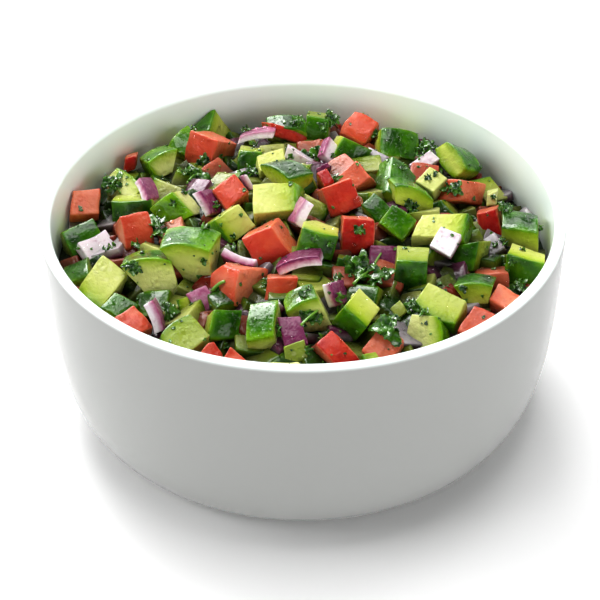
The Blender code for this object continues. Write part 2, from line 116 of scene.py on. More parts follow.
GAP_SEED = 7
# Smaller pieces deep between the others, wherever the core can be seen from one of several sides
DEEP_SPACINGS = (6.5 * MM, 4.2 * MM)
DEEP_TOPS_BELOW = (2.6 * MM, 4.2 * MM)
DEEP_REACH = 73.5 * MM
DEEP_LOOK_LIFT = 0.3 * MM
DEEP_SIZES = (6.5 * MM, 9.5 * MM)
DEEP_SPOTS = 1500
DEEP_VIEWS = (20, 110, 200, 290)
DEEP_VIEW_RISE = math.radians(40)
# Deep pieces' tone is cut to this share, as painted shade that darkens them
DEEP_PAINTED_SHADE_TONE = 0.4
GOLDEN_ANGLE = math.pi * (3 - math.sqrt(5))

# The diner's eye. Its picture frame measures 600 by 600, and its focal length 1600 in the same units.
EYE_DISTANCE = 489 * MM
EYE_ELEVATION = math.radians(33.3)
FOCAL = 1600
FRAME_SIDE = 600
FRAME_MIDDLE = Vector((300, 300))
RIM_MIDDLE = Vector((302.4, 203.7))
EYE_CLIP = 10 * MM
# Width of the camera's sensor, which Blender counts in millimetres
SENSOR = 36

# One row for each piece: cut, skin sides, then the face turned to the eye as its corner, the corners
# along and down from it, and the corner behind it, then the piece's depth and its extra height in mm,
# and its tone, from 0 for the darkest to 1 for the palest of its kind.
CUCUMBER = (
    ("block", "face", (60, 232), (93, 217), (79, 275), (55, 237), 11, -1, 0.1),
    ("block", "left", (75, 288), (103, 256), (100, 309), (75, 308), 12, 1, 0.35),
    ("block", "face", (98, 308), (115, 292), (124, 322), (96, 326), 11, -2, 0.05),
    ("wedge", "top", (121, 266), (170, 262), (144, 305), (124, 256), 12, 1, 0.85),
    ("wedge", "top", (160, 250), (211, 252), (173, 282), (168, 230), 12, 2, 0.7),
    ("block", "face", (148, 209), (172, 192), (168, 231), (162, 207), 11, 1, 1),
    ("block", "face", (110, 201), (150, 200), (113, 222), (118, 195), 11, -1, 0.2),
    ("block", "top", (117, 168), (142, 187), (106, 182), (119, 188), 11, 0, 1),
    ("wedge", "top left", (148, 162), (178, 148), (150, 183), (138, 159), 11, 1, 1),
    ("block", "face", (167, 146), (187, 124), (187, 158), (167, 166), 11, 0, 0.6),
    ("wedge", "left right", (215, 109), (239, 132), (209, 131), (191, 119), 11, 2, 0.5),
    ("block", "face", (266, 116), (306, 117), (268, 131), (266, 138), 11, 0, 0.1),
    ("block", "face", (307, 115), (330, 119), (305, 141), (309, 111), 11, 2, 0),
    ("block", "face", (345, 137), (373, 151), (332, 160), (335, 135), 11, 0, 0.45),
    ("block", "face", (383, 127), (421, 134), (380, 156), (369, 139), 12, 1, 0.3),
    ("block", "left right", (434, 150), (447, 142), (453, 178), (452, 155), 9, 2, 0.6),
    ("block", "", (430, 167), (447, 177), (416, 182), (432, 187), 11, 0, 0.7),
    ("block", "", (487, 194), (498, 192), (486, 207), (487, 190), 9, -1, 1),
    ("block", "face", (503, 208), (538, 213), (502, 228), (503, 233), 9, 0, 0.2),
    ("block", "right", (421, 213), (471, 213), (412, 237), (421, 236), 11, 1, 0.35),
    ("block", "face", (450, 246), (479, 242), (443, 276), (464, 245), 12, -1, 0.1),
    ("block", "face", (509, 254), (544, 265), (501, 280), (512, 243), 12, 0, 0.35),
    ("wedge", "top", (452, 287), (492, 286), (456, 305), (456, 277), 10, -1, 0.2),
    ("block", "bottom", (427, 279), (468, 302), (414, 302), (427, 299), 12, 1, 0.25),
    ("flared", "right", (411, 313), (437, 315), (410, 348), (424, 319), 11, -1, 1),
    ("block", "face", (397, 260), (429, 262), (393, 290), (398, 244), 11, 0, 0.1),
    ("block", "face", (302, 228), (337, 237), (295, 252), (304, 217), 12, 2, 0.3),
    ("block", "face", (378, 223), (392, 202), (403, 241), (376, 231), 12, 2, 0.45),
    ("block", "top", (397, 187), (435, 200), (396, 204), (387, 177), 12, 1, 0.5),
    ("block", "face left", (393, 156), (416, 176), (387, 190), (374, 176), 12, 0, 0.2),
    ("block", "face", (362, 206), (375, 193), (378, 222), (362, 222), 11, -2, 0.2),
    ("round", "right", (254, 185), (295, 182), (254, 214), (254, 207), 12, 2, 0.5),
    ("block", "face", (261, 165), (284, 159), (289, 178), (263, 181), 6, 0, 0.3),
    ("block", "", (256, 155), (283, 147), (259, 172), (256, 173), 10, 0, 0.5),
    ("block", "face", (290, 179), (309, 172), (300, 198), (288, 173), 11, -1, 0.2),
    ("block", "face", (238, 150), (262, 152), (237, 172), (240, 145), 11, -1, 0.15),
    ("block", "left", (214, 219), (239, 203), (231, 243), (204, 224), 12, 1, 0.6),
    ("block", "face", (281, 297), (312, 283), (286, 313), (298, 326), 11, 1, 0.8),
    ("block", "left", (178, 300), (190, 297), (178, 314), (179, 296), 10, -4, 0.5),
    ("block", "top", (159, 340), (192, 313), (178, 362), (159, 362), 12, 1, 0.05),
    ("block", "face", (214, 309), (244, 309), (208, 340), (203, 316), 12, 0, 0.15),
    ("block", "face", (250, 305), (278, 300), (245, 341), (257, 330), 12, 1, 0.8),
    ("block", "", (283, 348), (305, 340), (285, 368), (285, 344), 11, -2, 0),
    ("block", "left", (344, 306), (359, 287), (366, 328), (330, 325), 11, 2, 0.4),
    ("block", "", (390, 308), (400, 299), (398, 320), (390, 318), 10, -4, 0.05),
    ("block", "left", (362, 355), (376, 350), (370, 368), (362, 372), 10, -2, 0.1),
    ("block", "", (268, 362), (300, 361), (270, 380), (268, 382), 10, -1, 0.9),
)
TOMATO = (
    ("flared", "bottom", (72, 190), (100, 188), (71, 219), (72, 198), 9, 1, 0.85),
    ("block", "face", (119, 217), (149, 210), (126, 251), (113, 225), 11, 0, 0.62),
    ("block", "", (110, 319), (133, 304), (130, 341), (110, 339), 11, 0, 0.2),
    ("block", "face", (125, 159), (136, 156), (124, 173), (127, 155), 9, 0, 0.25),
    ("block", "face", (191, 130), (218, 141), (181, 162), (211, 131), 12, 2, 0.65),
    ("block", "face", (268, 122), (306, 133), (272, 136), (260, 121), 11, 1, 0.3),
    ("block", "face", (337, 131), (355, 110), (364, 143), (337, 148), 11, 2, 0.62),
    ("block", "face", (438, 180), (463, 178), (434, 203), (462, 186), 12, 1, 0.7),
    ("block", "face", (476, 213), (497, 209), (482, 243), (478, 208), 10, -1, 0.1),
    ("block", "", (488, 300), (498, 281), (514, 314), (488, 318), 11, 0, 0.9),
    ("block", "right", (458, 331), (474, 304), (484, 343), (458, 349), 11, 0, 0.15),
    ("block", "face", (343, 219), (374, 221), (341, 256), (339, 216), 12, 1, 0.2),
    ("block", "right", (335, 176), (355, 160), (350, 194), (342, 190), 11, 0, 0.6),
    ("block", "face", (321, 188), (352, 177), (331, 217), (314, 191), 12, 2, 0.4),
    ("block", "face", (316, 172), (326, 167), (325, 187), (316, 186), 10, -1, 0.05),
    ("block", "face", (212, 191), (235, 172), (227, 211), (212, 208), 11, 1, 0.5),
    ("block", "face", (241, 240), (271, 226), (264, 273), (250, 231), 12, 2, 0.5),
    ("block", "face", (213, 260), (241, 268), (209, 300), (239, 263), 12, 1, 0.72),
    ("block", "face", (267, 278), (298, 277), (264, 301), (268, 274), 10, -2, 0.6),
    ("block", "", (199, 354), (212, 340), (211, 367), (199, 370), 9, -1, 0.1),
    ("block", "", (221, 359), (231, 347), (237, 371), (221, 375), 9, -1, 0.4),
    ("block", "face", (314, 343), (331, 327), (345, 377), (306, 356), 12, 0, 0.3),
    ("block", "right", (362, 352), (383, 320), (384, 372), (362, 368), 11, -1, 0.5),
)
ONION = (
    ("block", "rear", (77, 243), (107, 228), (90, 263), (75, 249), 3, 2, 1),
    ("block", "right", (143, 305), (152, 300), (155, 335), (147, 302), 9, -1, 0.7),
    ("block", "face", (140, 177), (151, 176), (148, 199), (134, 183), 3, 0, 0.3),
    ("block", "top", (240, 137), (275, 131), (237, 145), (242, 132), 9, 0, 0.8),
    ("block", "left rear", (329, 136), (340, 146), (322, 153), (324, 139), 3, 1, 0.6),
    ("block", "face", (316, 169), (328, 162), (318, 174), (316, 173), 8, 0, 0.4),
    ("block", "rear", (408, 164), (430, 150), (418, 173), (409, 168), 3, 1, 0.3),
    ("block", "right rear", (496, 180), (509, 171), (497, 200), (503, 184), 4, 1, 1),
    ("block", "rear", (430, 246), (441, 225), (451, 256), (430, 250), 3, 4, 0.3),
    ("block", "face", (371, 245), (398, 247), (369, 266), (370, 249), 3, 1, 0.1),
    ("block", "left", (306, 199), (315, 206), (293, 222), (300, 196), 8, 3, 0.8),
    ("block", "right", (287, 146), (314, 163), (284, 157), (288, 143), 7, 2, 1),
    ("block", "left", (241, 175), (247, 174), (250, 191), (239, 177), 7, 1, 0.9),
    ("block", "face", (199, 190), (211, 189), (213, 213), (192, 195), 3, 2, 0.3),
    ("block", "bottom", (224, 247), (257, 259), (221, 255), (225, 254), 7, 2, 0.5),
    ("block", "top", (276, 267), (319, 256), (279, 277), (279, 258), 9, 3, 0.1),
    ("block", "right", (321, 286), (331, 283), (328, 308), (334, 282), 10, 0, 0.3),
    ("block", "face", (186, 294), (205, 284), (200, 315), (186, 297), 3, 1, 0.8),
    ("block", "face", (277, 317), (301, 316), (284, 346), (277, 321), 3, 1, 0),
)
# Parsley leaves: where the eye sees each one, its width in mm and its turn in degrees.
PARSLEY = (
    ((158, 229), 8, 20),
    ((112, 185), 7, 80),
    ((196, 178), 9, 140),
    ((330, 119), 6, 10),
    ((424, 152), 9, 60),
    ((358, 268), 10, 30),
    ((378, 278), 9, 190),
    ((312, 157), 7, 100),
    ((308, 318), 8, 50),
    ((388, 330), 9, 120),
    ((132, 268), 5, 0),
    ((169, 314), 6, 70),
    ((251, 175), 7, 150),
    ((504, 209), 5, 20),
    ((456, 190), 5, 30),
    ((411, 206), 5, 80),
    ((374, 134), 4, 160),
    ((520, 286), 5, 0),
    ((413, 308), 5, 60),
    ((297, 122), 4, 200),
    ((204, 163), 5, 40),
)

# Which way each side of a piece faces: an axis of the piece (0 along, 1 down, 2 behind) and an end.
SIDES = {"left": (0, 0), "right": (0, 1), "top": (1, 0), "bottom": (1, 1), "face": (2, 0), "rear": (2, 1)}

# Fine pieces: their steps along an edge, by how well they can be seen, and how a knife leaves them
LATTICE = 15
GAP_LATTICE = 9
DEEP_LATTICE = 5
LATTICE_PINCH = 0.85
EDGE_ROUND = {"cucumber": 0.4 * MM, "tomato": 0.6 * MM, "onion": 0.35 * MM}
EDGE_ROUND_LIMIT = 0.45
NO_LENGTH = 1e-9
WOBBLE = {"cucumber": 0.45 * MM, "tomato": 0.7 * MM, "onion": 0.4 * MM}
WOBBLE_SCALE = 6 * MM
GRAIN_SCALE = 1.5 * MM
GRAIN_SHARE = 0.2
NOISE_SHIFT = 50
CORNER_DRIFT = 0.045
SLICES = 2
SLICE_REACH = (0.60, 0.80)
SLICE_KEEP = 0.35
SLICE_LEAST_LEAN = 0.15
NO_SKIN_DEPTH = 9 * MM
LOT_SEED = 500
# How a piece's colour is darkened with painted shade between its neighbours
LOW_START = 1.5 * MM
LOW_SPAN = 6 * MM
LOW_SHARE = 0.9
SEEN_LOW_SHARE = 0.55
GAP_SHADE = 0.28
DEEP_SHADE = 0.4

Z_UP = Vector((0, 0, 1))
Z_DOWN = Vector((0, 0, -1))


def linear(red, green, blue):
    """A colour given as 0 to 255 screen values, in the linear values that shaders take, by sRGB's rule."""
    shares = [value / 255 for value in (red, green, blue)]
    return tuple(s / 12.92 if s <= 0.04045 else ((s + 0.055) / 1.055) ** 2.4 for s in shares)


# ---------------------------------------------------------------- the bowl's section and the dome


def side_radius(height, top_height, low_radius, top_radius):
    """Radius of a steep side that turns in sharply at its foot; height 0 is the foot."""
    share = min(max(height / top_height, 0), 1)
    return low_radius + (top_radius - low_radius) * (1 - (1 - share) ** SIDE_POWER) ** (1 / CORNER_POWER)


def outer_radius(z):
    """Radius of the bowl's outer side at a height."""
    return side_radius(z, BOWL_HEIGHT, FOOT_RADIUS, BOWL_RADIUS)


def inner_radius(z):
    """Radius of the bowl's inner side at a height."""
    return side_radius(z - FLOOR, BOWL_HEIGHT - FLOOR, 0, BOWL_RADIUS - WALL)


def side_heights(low, high, steps):
    """Heights from low to high, closest together at the foot, where the side bends most."""
    return [low + (high - low) * (step / steps) ** SIDE_GRADING for step in range(1, steps + 1)]


def dome(x, y):
    """Height of the heap's smooth dome."""
    return DOME_EDGE + DOME_RISE * (1 - (x * x + y * y) / DOME_RADIUS ** 2)


def kept_inside(point):
    """A point pulled in to clear the bowl's side."""
    reach = math.hypot(point[0], point[1])
    limit = inner_radius(point[2]) - WALL_GAP
    if reach <= limit:
        return point
    return Vector((point[0] * limit / reach, point[1] * limit / reach, point[2]))


# ---------------------------------------------------------------- the diner's eye


def eye_frame():
    """The eye's place, and the directions to its right, up and back towards it."""
    out = Vector((0, -math.cos(EYE_ELEVATION), math.sin(EYE_ELEVATION)))
    right = Vector((1, 0, 0))
    up = out.cross(right)
    eye = Vector((0, 0, BOWL_HEIGHT)) + out * EYE_DISTANCE
    offset = (RIM_MIDDLE - FRAME_MIDDLE) / FOCAL
    seen = Vector((offset.x, -offset.y, -1)).normalized()
    turn = Z_DOWN.rotation_difference(seen).to_matrix()
    axes = turn @ Matrix((right, up, out))
    return eye, axes[0].copy(), axes[1].copy(), axes[2].copy()


EYE, RIGHT, UP, OUT = eye_frame()


def sight(seen):
    """Direction in which the eye sees a point of the frame."""
    offset = (Vector(seen) - FRAME_MIDDLE) / FOCAL
    return (offset.x * RIGHT - offset.y * UP - OUT).normalized()


def across(shift, scale):
    """A shift in the frame as a vector square to the eye's axis."""
    return (shift.x * RIGHT - shift.y * UP) / scale


def leaned(shift, scale, ray, normal):
    """A shift in the frame as the vector in a face's plane that looks the same to the eye."""
    flat = across(shift, scale)
    return flat - ray * (flat.dot(normal) / ray.dot(normal))


def laid(row):
    """Corner of a piece's face and its three edge vectors, with the piece lying on the dome."""
    corner, along, down, behind = (Vector(seen) for seen in row[2:6])
    depth = row[6] * MM
    ray = sight((along + down) / 2)
    place = EYE + ray * ((DOME_EDGE + DOME_RISE - EYE.z) / ray.z)
    stand = STAND_OUT + row[7] * MM
    for _ in range(LAYING_ROUNDS):
        scale = FOCAL / (EYE - place).dot(OUT)
        back = across(behind - corner, scale)
        run = math.sqrt(max(depth ** 2 - back.length_squared, (LEAST_RUN * depth) ** 2))
        w = (back + run * ray).normalized() * depth
        normal = -w.normalized()
        u = leaned(along - corner, scale, ray, normal)
        v = leaned(down - corner, scale, ray, normal)
        ends = [i * u + j * v + k * w for i in (-0.5, 0.5) for j in (-0.5, 0.5) for k in (0, 1)]
        height = dome(place.x, place.y) + stand - max(end.z for end in ends)
        place = EYE + ray * ((height - EYE.z) / ray.z)
    return place - u / 2 - v / 2, (u, v, w), ray


# ---------------------------------------------------------------- the heap's layout


class Piece:
    """One diced piece: its kind, corner, edge vectors, cut, skin sides and tone."""

    def __init__(self, kind, corner, edges, cut="block", skins=(), tone=0.5):
        self.kind = kind
        self.corner = corner
        self.edges = edges
        self.cut = cut
        self.skins = skins
        self.tone = tone
        self.fineness = LATTICE
        self.low_share = SEEN_LOW_SHARE
        self.shade = 0
        self.radius = ROUND_RADIUS if cut == "round" else SKIN_RADIUS[kind]
        # The cut and the skins shape the section square to the grain
        used = {SIDES[skin][0] for skin in skins}
        if cut == "flared":
            used.add(1)
        free = [axis for axis in range(3) if axis not in used]
        self.grain = min(free, key=lambda axis: edges[axis].length)
        self.across_grain = [axis for axis in range(3) if axis != self.grain]


def bulge(length, radius):
    """How far an arc of a given radius stands out over a straight side."""
    half = min(length / 2, radius * ARC_LIMIT)
    return radius - math.sqrt(radius ** 2 - half ** 2)


def plain_section(piece):
    """Outline of a piece's section in shares of its two axes across the grain, with few points."""
    outline = []
    loop = [(0, 0), (1, 0), (1, 1), (0, 1)]
    for start, end in zip(loop, loop[1:] + loop[:1]):
        for step in range(ARC_STEPS):
            share = step / ARC_STEPS
            outline.append([a + (b - a) * share for a, b in zip(start, end)])
    shares = np.zeros((len(outline), 3))
    shares[:, piece.across_grain] = outline
    return shaped(piece, shares)[:, piece.across_grain]


def plain_mesh(piece):
    """A piece as a closed prism along its grain, with few faces."""
    p, q = piece.across_grain
    shape = bmesh.new()
    outline = plain_section(piece)
    spots = [piece.corner + piece.edges[p] * float(i) + piece.edges[q] * float(j) for i, j in outline]
    face = shape.faces.new([shape.verts.new(spot) for spot in spots])
    extruded = bmesh.ops.extrude_face_region(shape, geom=[face], use_keep_orig=True)
    moved = [item for item in extruded["geom"] if isinstance(item, bmesh.types.BMVert)]
    bmesh.ops.translate(shape, verts=moved, vec=piece.edges[piece.grain])
    for vert in shape.verts:
        vert.co = kept_inside(vert.co)
    bmesh.ops.triangulate(shape, faces=shape.faces[:])
    return shape


def shaped(piece, shares):
    """Shares of a piece's axes, tapered by its cut and bulged on its skin sides."""
    shares = shares.copy()
    if piece.cut == "flared":
        other = next(axis for axis in piece.across_grain if axis != 1)
        spread = 1 + (FLARE - 1) * shares[:, 1]
        shares[:, other] = 0.5 + (shares[:, other] - 0.5) * spread
    if piece.cut == "wedge":
        facing, end = SIDES[piece.skins[0]]
        other = next(axis for axis in piece.across_grain if axis != facing)
        away = np.abs(shares[:, facing] - end)
        shares[:, other] = 0.5 + (shares[:, other] - 0.5) * (1 + (WEDGE_TAPER - 1) * away)
    out = shares.copy()
    for skin in piece.skins:
        facing, end = SIDES[skin]
        other = next(axis for axis in piece.across_grain if axis != facing)
        rise = bulge(piece.edges[other].length, piece.radius) / piece.edges[facing].length
        arc = 1 - (2 * shares[:, other] - 1) ** 2
        near = 1 if piece.kind == "onion" else 1 - np.abs(shares[:, facing] - end)
        out[:, facing] += (1 if end else -1) * rise * arc * near
    return out


def support(shapes):
    """A search tree over several plain meshes together, which are freed."""
    joined = bmesh.new()
    for shape in shapes:
        mesh = bpy.data.meshes.new("support")
        shape.to_mesh(mesh)
        joined.from_mesh(mesh)
        bpy.data.meshes.remove(mesh)
    tree = BVHTree.FromBMesh(joined)
    joined.free()
    return tree


def below_surface(tree, point):
    """How far a point is under whatever lies above it, or 0 in the open."""
    hit = tree.ray_cast(point + Z_UP * LOOK_ABOVE, Z_DOWN, LOOK_ABOVE)
    if hit[0] is None:
        return 0
    return hit[0].z - point.z


def settled_slide(row, tree):
    """Slide along the line of sight that sets a thin plate down on the pieces under it."""
    corner, (u, v, w), ray = laid(row)
    shares = [(i, j, k) for i in (0, 0.5, 1) for j in (0, 0.5, 1) for k in (0, 1)]
    slide = SETTLE_START
    while slide < SETTLE_END:
        points = [corner + ray * slide + i * u + j * v + k * w for i, j, k in shares]
        sunk = sum(below_surface(tree, point) > ONION_SINK for point in points)
        if sunk >= SETTLED_POINTS:
            break
        slide += SETTLE_STEP
    return slide


def is_bare(tree, x, y):
    """Whether nothing but the core lies around a spot, looking straight down."""
    for i in (-GAP_HALF, 0, GAP_HALF):
        for j in (-GAP_HALF, 0, GAP_HALF):
            hit = tree.ray_cast(Vector((x + i, y + j, 2 * BOWL_HEIGHT)), Z_DOWN)[0]
            if hit is None or hit.z > dome(x, y) - GAP_BARE_BELOW:
                return False
    return True


def gap_spots(tree):
    """Spots of a sunflower spiral where the heap is bare, apart from each other."""
    spots = []
    for index in range(GAP_SPOTS):
        away = GAP_REACH * math.sqrt((index + 0.5) / GAP_SPOTS)
        x, y = away * math.cos(index * GOLDEN_ANGLE), away * math.sin(index * GOLDEN_ANGLE)
        near = any(math.hypot(x - a, y - b) < GAP_SPACING for a, b in spots)
        if not near and is_bare(tree, x, y):
            spots.append((x, y))
    return spots


def deep_spots(tree, spacing):
    """Spots of the spiral where the core shows from above, from the diner's eye or from round about."""
    views = [Z_UP]
    for turn in DEEP_VIEWS:
        flat = Matrix.Rotation(math.radians(turn), 3, "Z") @ Vector((math.cos(DEEP_VIEW_RISE), 0, 0))
        views.append(flat + Z_UP * math.sin(DEEP_VIEW_RISE))
    spots = []
    for index in range(DEEP_SPOTS):
        away = DEEP_REACH * math.sqrt((index + 0.5) / DEEP_SPOTS)
        x, y = away * math.cos(index * GOLDEN_ANGLE), away * math.sin(index * GOLDEN_ANGLE)
        if any(math.hypot(x - a, y - b) < spacing for a, b in spots):
            continue
        spot = Vector((x, y, dome(x, y) - CORE_BELOW_DOME + DEEP_LOOK_LIFT))
        to_eye = (EYE - spot).normalized()
        if any(tree.ray_cast(spot, view)[0] is None for view in (to_eye, *views)):
            spots.append((x, y))
    return spots


def gap_piece(draw, finish, x, y, sizes=GAP_SIZES, top_below=GAP_TOP_BELOW):
    """A piece lower in the heap, turned at random."""
    lot = draw.random()
    kind = next(name for name, share in GAP_SHARES if lot < share)
    turn = Matrix.Rotation(draw.uniform(0, math.tau), 3, "Z")
    lean = Matrix.Rotation(draw.uniform(-GAP_LEAN, GAP_LEAN), 3, "X")
    roll = Matrix.Rotation(draw.uniform(-GAP_LEAN, GAP_LEAN), 3, "Y")
    axes = (turn @ (lean @ roll)).transposed()
    edges = [axes[axis] * draw.uniform(*sizes) for axis in range(3)]
    if kind == "onion":
        edges[2] = axes[2] * ONION_THICK
    middle = sum(edges, Vector()) / 2
    high = max((i * edges[0] + j * edges[1] + k * edges[2]).z for i in (0, 1) for j in (0, 1) for k in (0, 1))
    place = Vector((x, y, dome(x, y) - top_below - high + middle.z))
    skin = finish.choice(("rear", "face") if kind == "onion" else ("left", "top", "rear", "bottom"))
    piece = Piece(kind, place - middle, edges, "block", [skin], finish.random())
    piece.fineness = GAP_LATTICE
    # Gap pieces take painted shade in full by their depth, and a share of it all over
    piece.low_share = 1
    piece.shade = GAP_SHADE
    return piece


def plain_core():
    """The core's dome as a plain mesh."""
    shape = bmesh.new()
    reach = inner_radius(DOME_EDGE - CORE_BELOW_DOME) - CLEARANCE
    radii = [reach * ring / PLAIN_CORE_RINGS for ring in range(PLAIN_CORE_RINGS + 1)]
    rings = [(r, dome(r, 0) - CORE_BELOW_DOME) for r in radii]
    verts = [shape.verts.new(point) for point in turned_rings(rings, PLAIN_CORE_SIDES)]
    for face in dish_faces(0, PLAIN_CORE_RINGS, PLAIN_CORE_SIDES):
        shape.faces.new([verts[index] for index in face])
    return shape


def heap_support(pieces):
    """A search tree over some pieces and the core."""
    return support([plain_mesh(piece) for piece in pieces] + [plain_core()])


@functools.lru_cache(maxsize=1)
def heap():
    """All the pieces of the heap, the ones that show first."""
    pieces = []
    for kind, rows in (("cucumber", CUCUMBER), ("tomato", TOMATO)):
        for row in rows:
            corner, edges, _ = laid(row)
            pieces.append(Piece(kind, corner, edges, row[0], row[1].split(), row[8]))
    tree = heap_support(pieces)
    for row in ONION:
        corner, edges, ray = laid(row)
        corner = corner + ray * settled_slide(row, tree)
        pieces.append(Piece("onion", corner, edges, row[0], row[1].split(), row[8]))
    draw, finish = random.Random(GAP_SEED), random.Random(GAP_SEED + 1)
    pieces += [gap_piece(draw, finish, x, y) for x, y in gap_spots(heap_support(pieces))]
    for spacing, top_below in zip(DEEP_SPACINGS, DEEP_TOPS_BELOW):
        for x, y in deep_spots(heap_support(pieces), spacing):
            piece = gap_piece(draw, finish, x, y, DEEP_SIZES, top_below)
            piece.fineness = DEEP_LATTICE
            # Deep pieces get more painted shade all over, and a tone darkened as painted shade
            piece.shade = DEEP_SHADE
            piece.tone *= DEEP_PAINTED_SHADE_TONE
            pieces.append(piece)
    return pieces


# ---------------------------------------------------------------- fine meshes


@functools.lru_cache(maxsize=None)
def lattice(steps):
    """Surface points of a unit cube, closer together by its edges, and the quads between them."""
    even = np.arange(steps + 1) / steps
    spread = even - LATTICE_PINCH * np.sin(math.tau * even) / math.tau
    index, points, quads = {}, [], []

    def vertex(i, j, k):
        key = (i, j, k)
        if key not in index:
            index[key] = len(points)
            points.append((spread[i], spread[j], spread[k]))
        return index[key]

    for axis in range(3):
        a, b = (axis + 1) % 3, (axis + 2) % 3
        for end in (0, steps):
            for i in range(steps):
                for j in range(steps):
                    quad = []
                    for di, dj in ((0, 0), (1, 0), (1, 1), (0, 1)):
                        key = [0, 0, 0]
                        key[axis], key[a], key[b] = end, i + di, j + dj
                        quad.append(vertex(*key))
                    quads.append(quad if end else quad[::-1])
    return np.array(points), np.array(quads)


def rounded(points, lengths, radius):
    """Points on a box's surface moved onto the box with its edges rounded."""
    radius = min(radius, min(lengths) * EDGE_ROUND_LIMIT)
    spots = points * lengths
    inner = np.clip(spots, radius, lengths - radius)
    away = spots - inner
    far = np.linalg.norm(away, axis=1, keepdims=True)
    return (inner + away / np.maximum(far, NO_LENGTH) * radius) / lengths


def drifted(shares, draw):
    """Shares bent a little by moving the box's corners, so that no two pieces are alike."""
    out = shares.copy()
    for i in (0, 1):
        for j in (0, 1):
            for k in (0, 1):
                weight = np.ones(len(shares))
                for axis, end in enumerate((i, j, k)):
                    weight *= shares[:, axis] if end else 1 - shares[:, axis]
                shift = [draw.uniform(-CORNER_DRIFT, CORNER_DRIFT) for _ in range(3)]
                out += weight[:, None] * np.array(shift)
    return out


def sliced(spots, middle, size, draw):
    """Points with a corner or edge cut off flat here and there, as a knife leaves them."""
    for _ in range(SLICES):
        leans = [draw.choice((-1, 1)) * draw.uniform(SLICE_LEAST_LEAN, 1) for _ in range(3)]
        if draw.random() < SLICE_KEEP:
            continue
        normal = np.array(Vector(leans).normalized())
        reach = draw.uniform(*SLICE_REACH) * size
        beyond = np.maximum((spots - middle) @ normal - reach, 0)
        spots = spots - beyond[:, None] * normal
    return spots


def skin_depths(piece, shares, lengths):
    """Depth of each point under the nearest skin, in metres."""
    depths = np.full(len(shares), NO_SKIN_DEPTH)
    for skin in piece.skins:
        facing, end = SIDES[skin]
        depths = np.minimum(depths, np.abs(shares[:, facing] - end) * lengths[facing])
    return depths


def edge_distances(piece, shares, lengths):
    """Distance of each point of a skin side from the side's nearest cut edge, in metres."""
    facing = SIDES[piece.skins[0]][0] if piece.skins else 2
    near = np.minimum(shares, 1 - shares) * lengths
    return np.delete(near, facing, axis=1).min(axis=1)


def fine_piece(piece, number):
    """A piece's fine points, quads, depths under its skin and distances to its edges."""
    points, quads = lattice(piece.fineness)
    draw = random.Random(number)
    lengths = np.array([edge.length for edge in piece.edges])
    shares = rounded(points, lengths, EDGE_ROUND[piece.kind])
    depths = skin_depths(piece, shares, lengths)
    edges = edge_distances(piece, shares, lengths)
    bent = drifted(shaped(piece, shares), draw)
    axes = np.array([list(edge) for edge in piece.edges])
    middle = np.array(piece.corner) + axes.sum(axis=0) / 2
    spots = np.array(piece.corner) + bent @ axes
    if piece.kind != "onion":
        spots = sliced(spots, middle, float(lengths.mean()), draw)
    normals = (shares - 0.5) @ axes
    normals /= np.linalg.norm(normals, axis=1, keepdims=True)
    shift = Vector([draw.uniform(0, NOISE_SHIFT) for _ in range(3)])
    wobble = WOBBLE[piece.kind]
    for index, spot in enumerate(spots):
        coarse = noise.noise(Vector(spot / WOBBLE_SCALE) + shift)
        grain = noise.noise(Vector(spot / GRAIN_SCALE) + shift)
        moved = spot + normals[index] * wobble * (coarse + GRAIN_SHARE * grain)
        spots[index] = kept_inside(moved)
    return spots, quads, depths, edges


def lowness(x, y, z):
    """Share of painted shade by depth: 0 for a point that stands out of the heap, 1 for one deep between the
    pieces.
    """
    return min(max((dome(x, y) - LOW_START - z) / LOW_SPAN, 0), 1)


def joined_pieces(name, kind, look):
    """All the pieces of one kind as one mesh, with what its material reads kept at its points."""
    spots, quads = [], []
    kept = {"skin_depth": [], "edge": [], "tone": [], "lot": [], "low": []}
    count = 0
    for number, piece in enumerate(heap()):
        if piece.kind != kind:
            continue
        points, faces, depths, edges = fine_piece(piece, number)
        if piece.edges[0].cross(piece.edges[1]).dot(piece.edges[2]) < 0:
            faces = faces[:, ::-1]
        spots.append(points)
        quads.append(faces + count)
        kept["skin_depth"].append(depths)
        kept["edge"].append(edges)
        kept["tone"].append(np.full(len(points), piece.tone))
        kept["lot"].append(np.full(len(points), random.Random(number + LOT_SEED).random()))
        # Each point's share of painted shade: its piece's share all over, and more the deeper it lies
        kept["low"].append([min(piece.shade + piece.low_share * lowness(*point), 1) for point in points])
        count += len(points)
    made = mesh_object(name, np.concatenate(spots), np.concatenate(quads), look)
    for value, numbers in kept.items():
        keep_values(made.data, value, np.concatenate(numbers))
    return made


def mesh_object(name, points, faces, look):
    """A smooth-shaded mesh object that rides on the bowl."""
    mesh = bpy.data.meshes.new(name)
    mesh.from_pydata(points, [], faces)
    mesh.shade_smooth()
    mesh.materials.append(look)
    made = bpy.data.objects.new(name, mesh)
    bpy.context.scene.collection.objects.link(made)
    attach(made, BODY)
    return made


def keep_values(mesh, name, values):
    """Store one number for each point of a mesh, for its material to read."""
    layer = mesh.attributes.new(name, "FLOAT", "POINT")
    layer.data.foreach_set("value", np.asarray(values, dtype=np.float32))


def dress(made):
    """Hide the imported solid of the salad, which the pieces stand in for."""
    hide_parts("salad")


# ---------------------------------------------------------------- round shapes


def neighbours(steps):
    """Each step round a ring, with the step after it."""
    return [(step, (step + 1) % steps) for step in range(steps)]


def ring_faces(first, second, steps):
    """Quads between two rings of points, each given by the number of its first point."""
    return [(first + a, second + a, second + b, first + b) for a, b in neighbours(steps)]


def side_faces(first, second, steps):
    """Quads between two rings of points, whose triangles meet along the other diagonal."""
    return [(first + a, first + b, second + b, second + a) for a, b in neighbours(steps)]


def dish_faces(start, rings, steps):
    """Faces from a point out over the rings of points that are numbered after it."""
    faces = [(start, start + 1 + a, start + 1 + b) for a, b in neighbours(steps)]
    for ring in range(rings - 1):
        inner = start + 1 + ring * steps
        faces += ring_faces(inner, inner + steps, steps)
    return faces


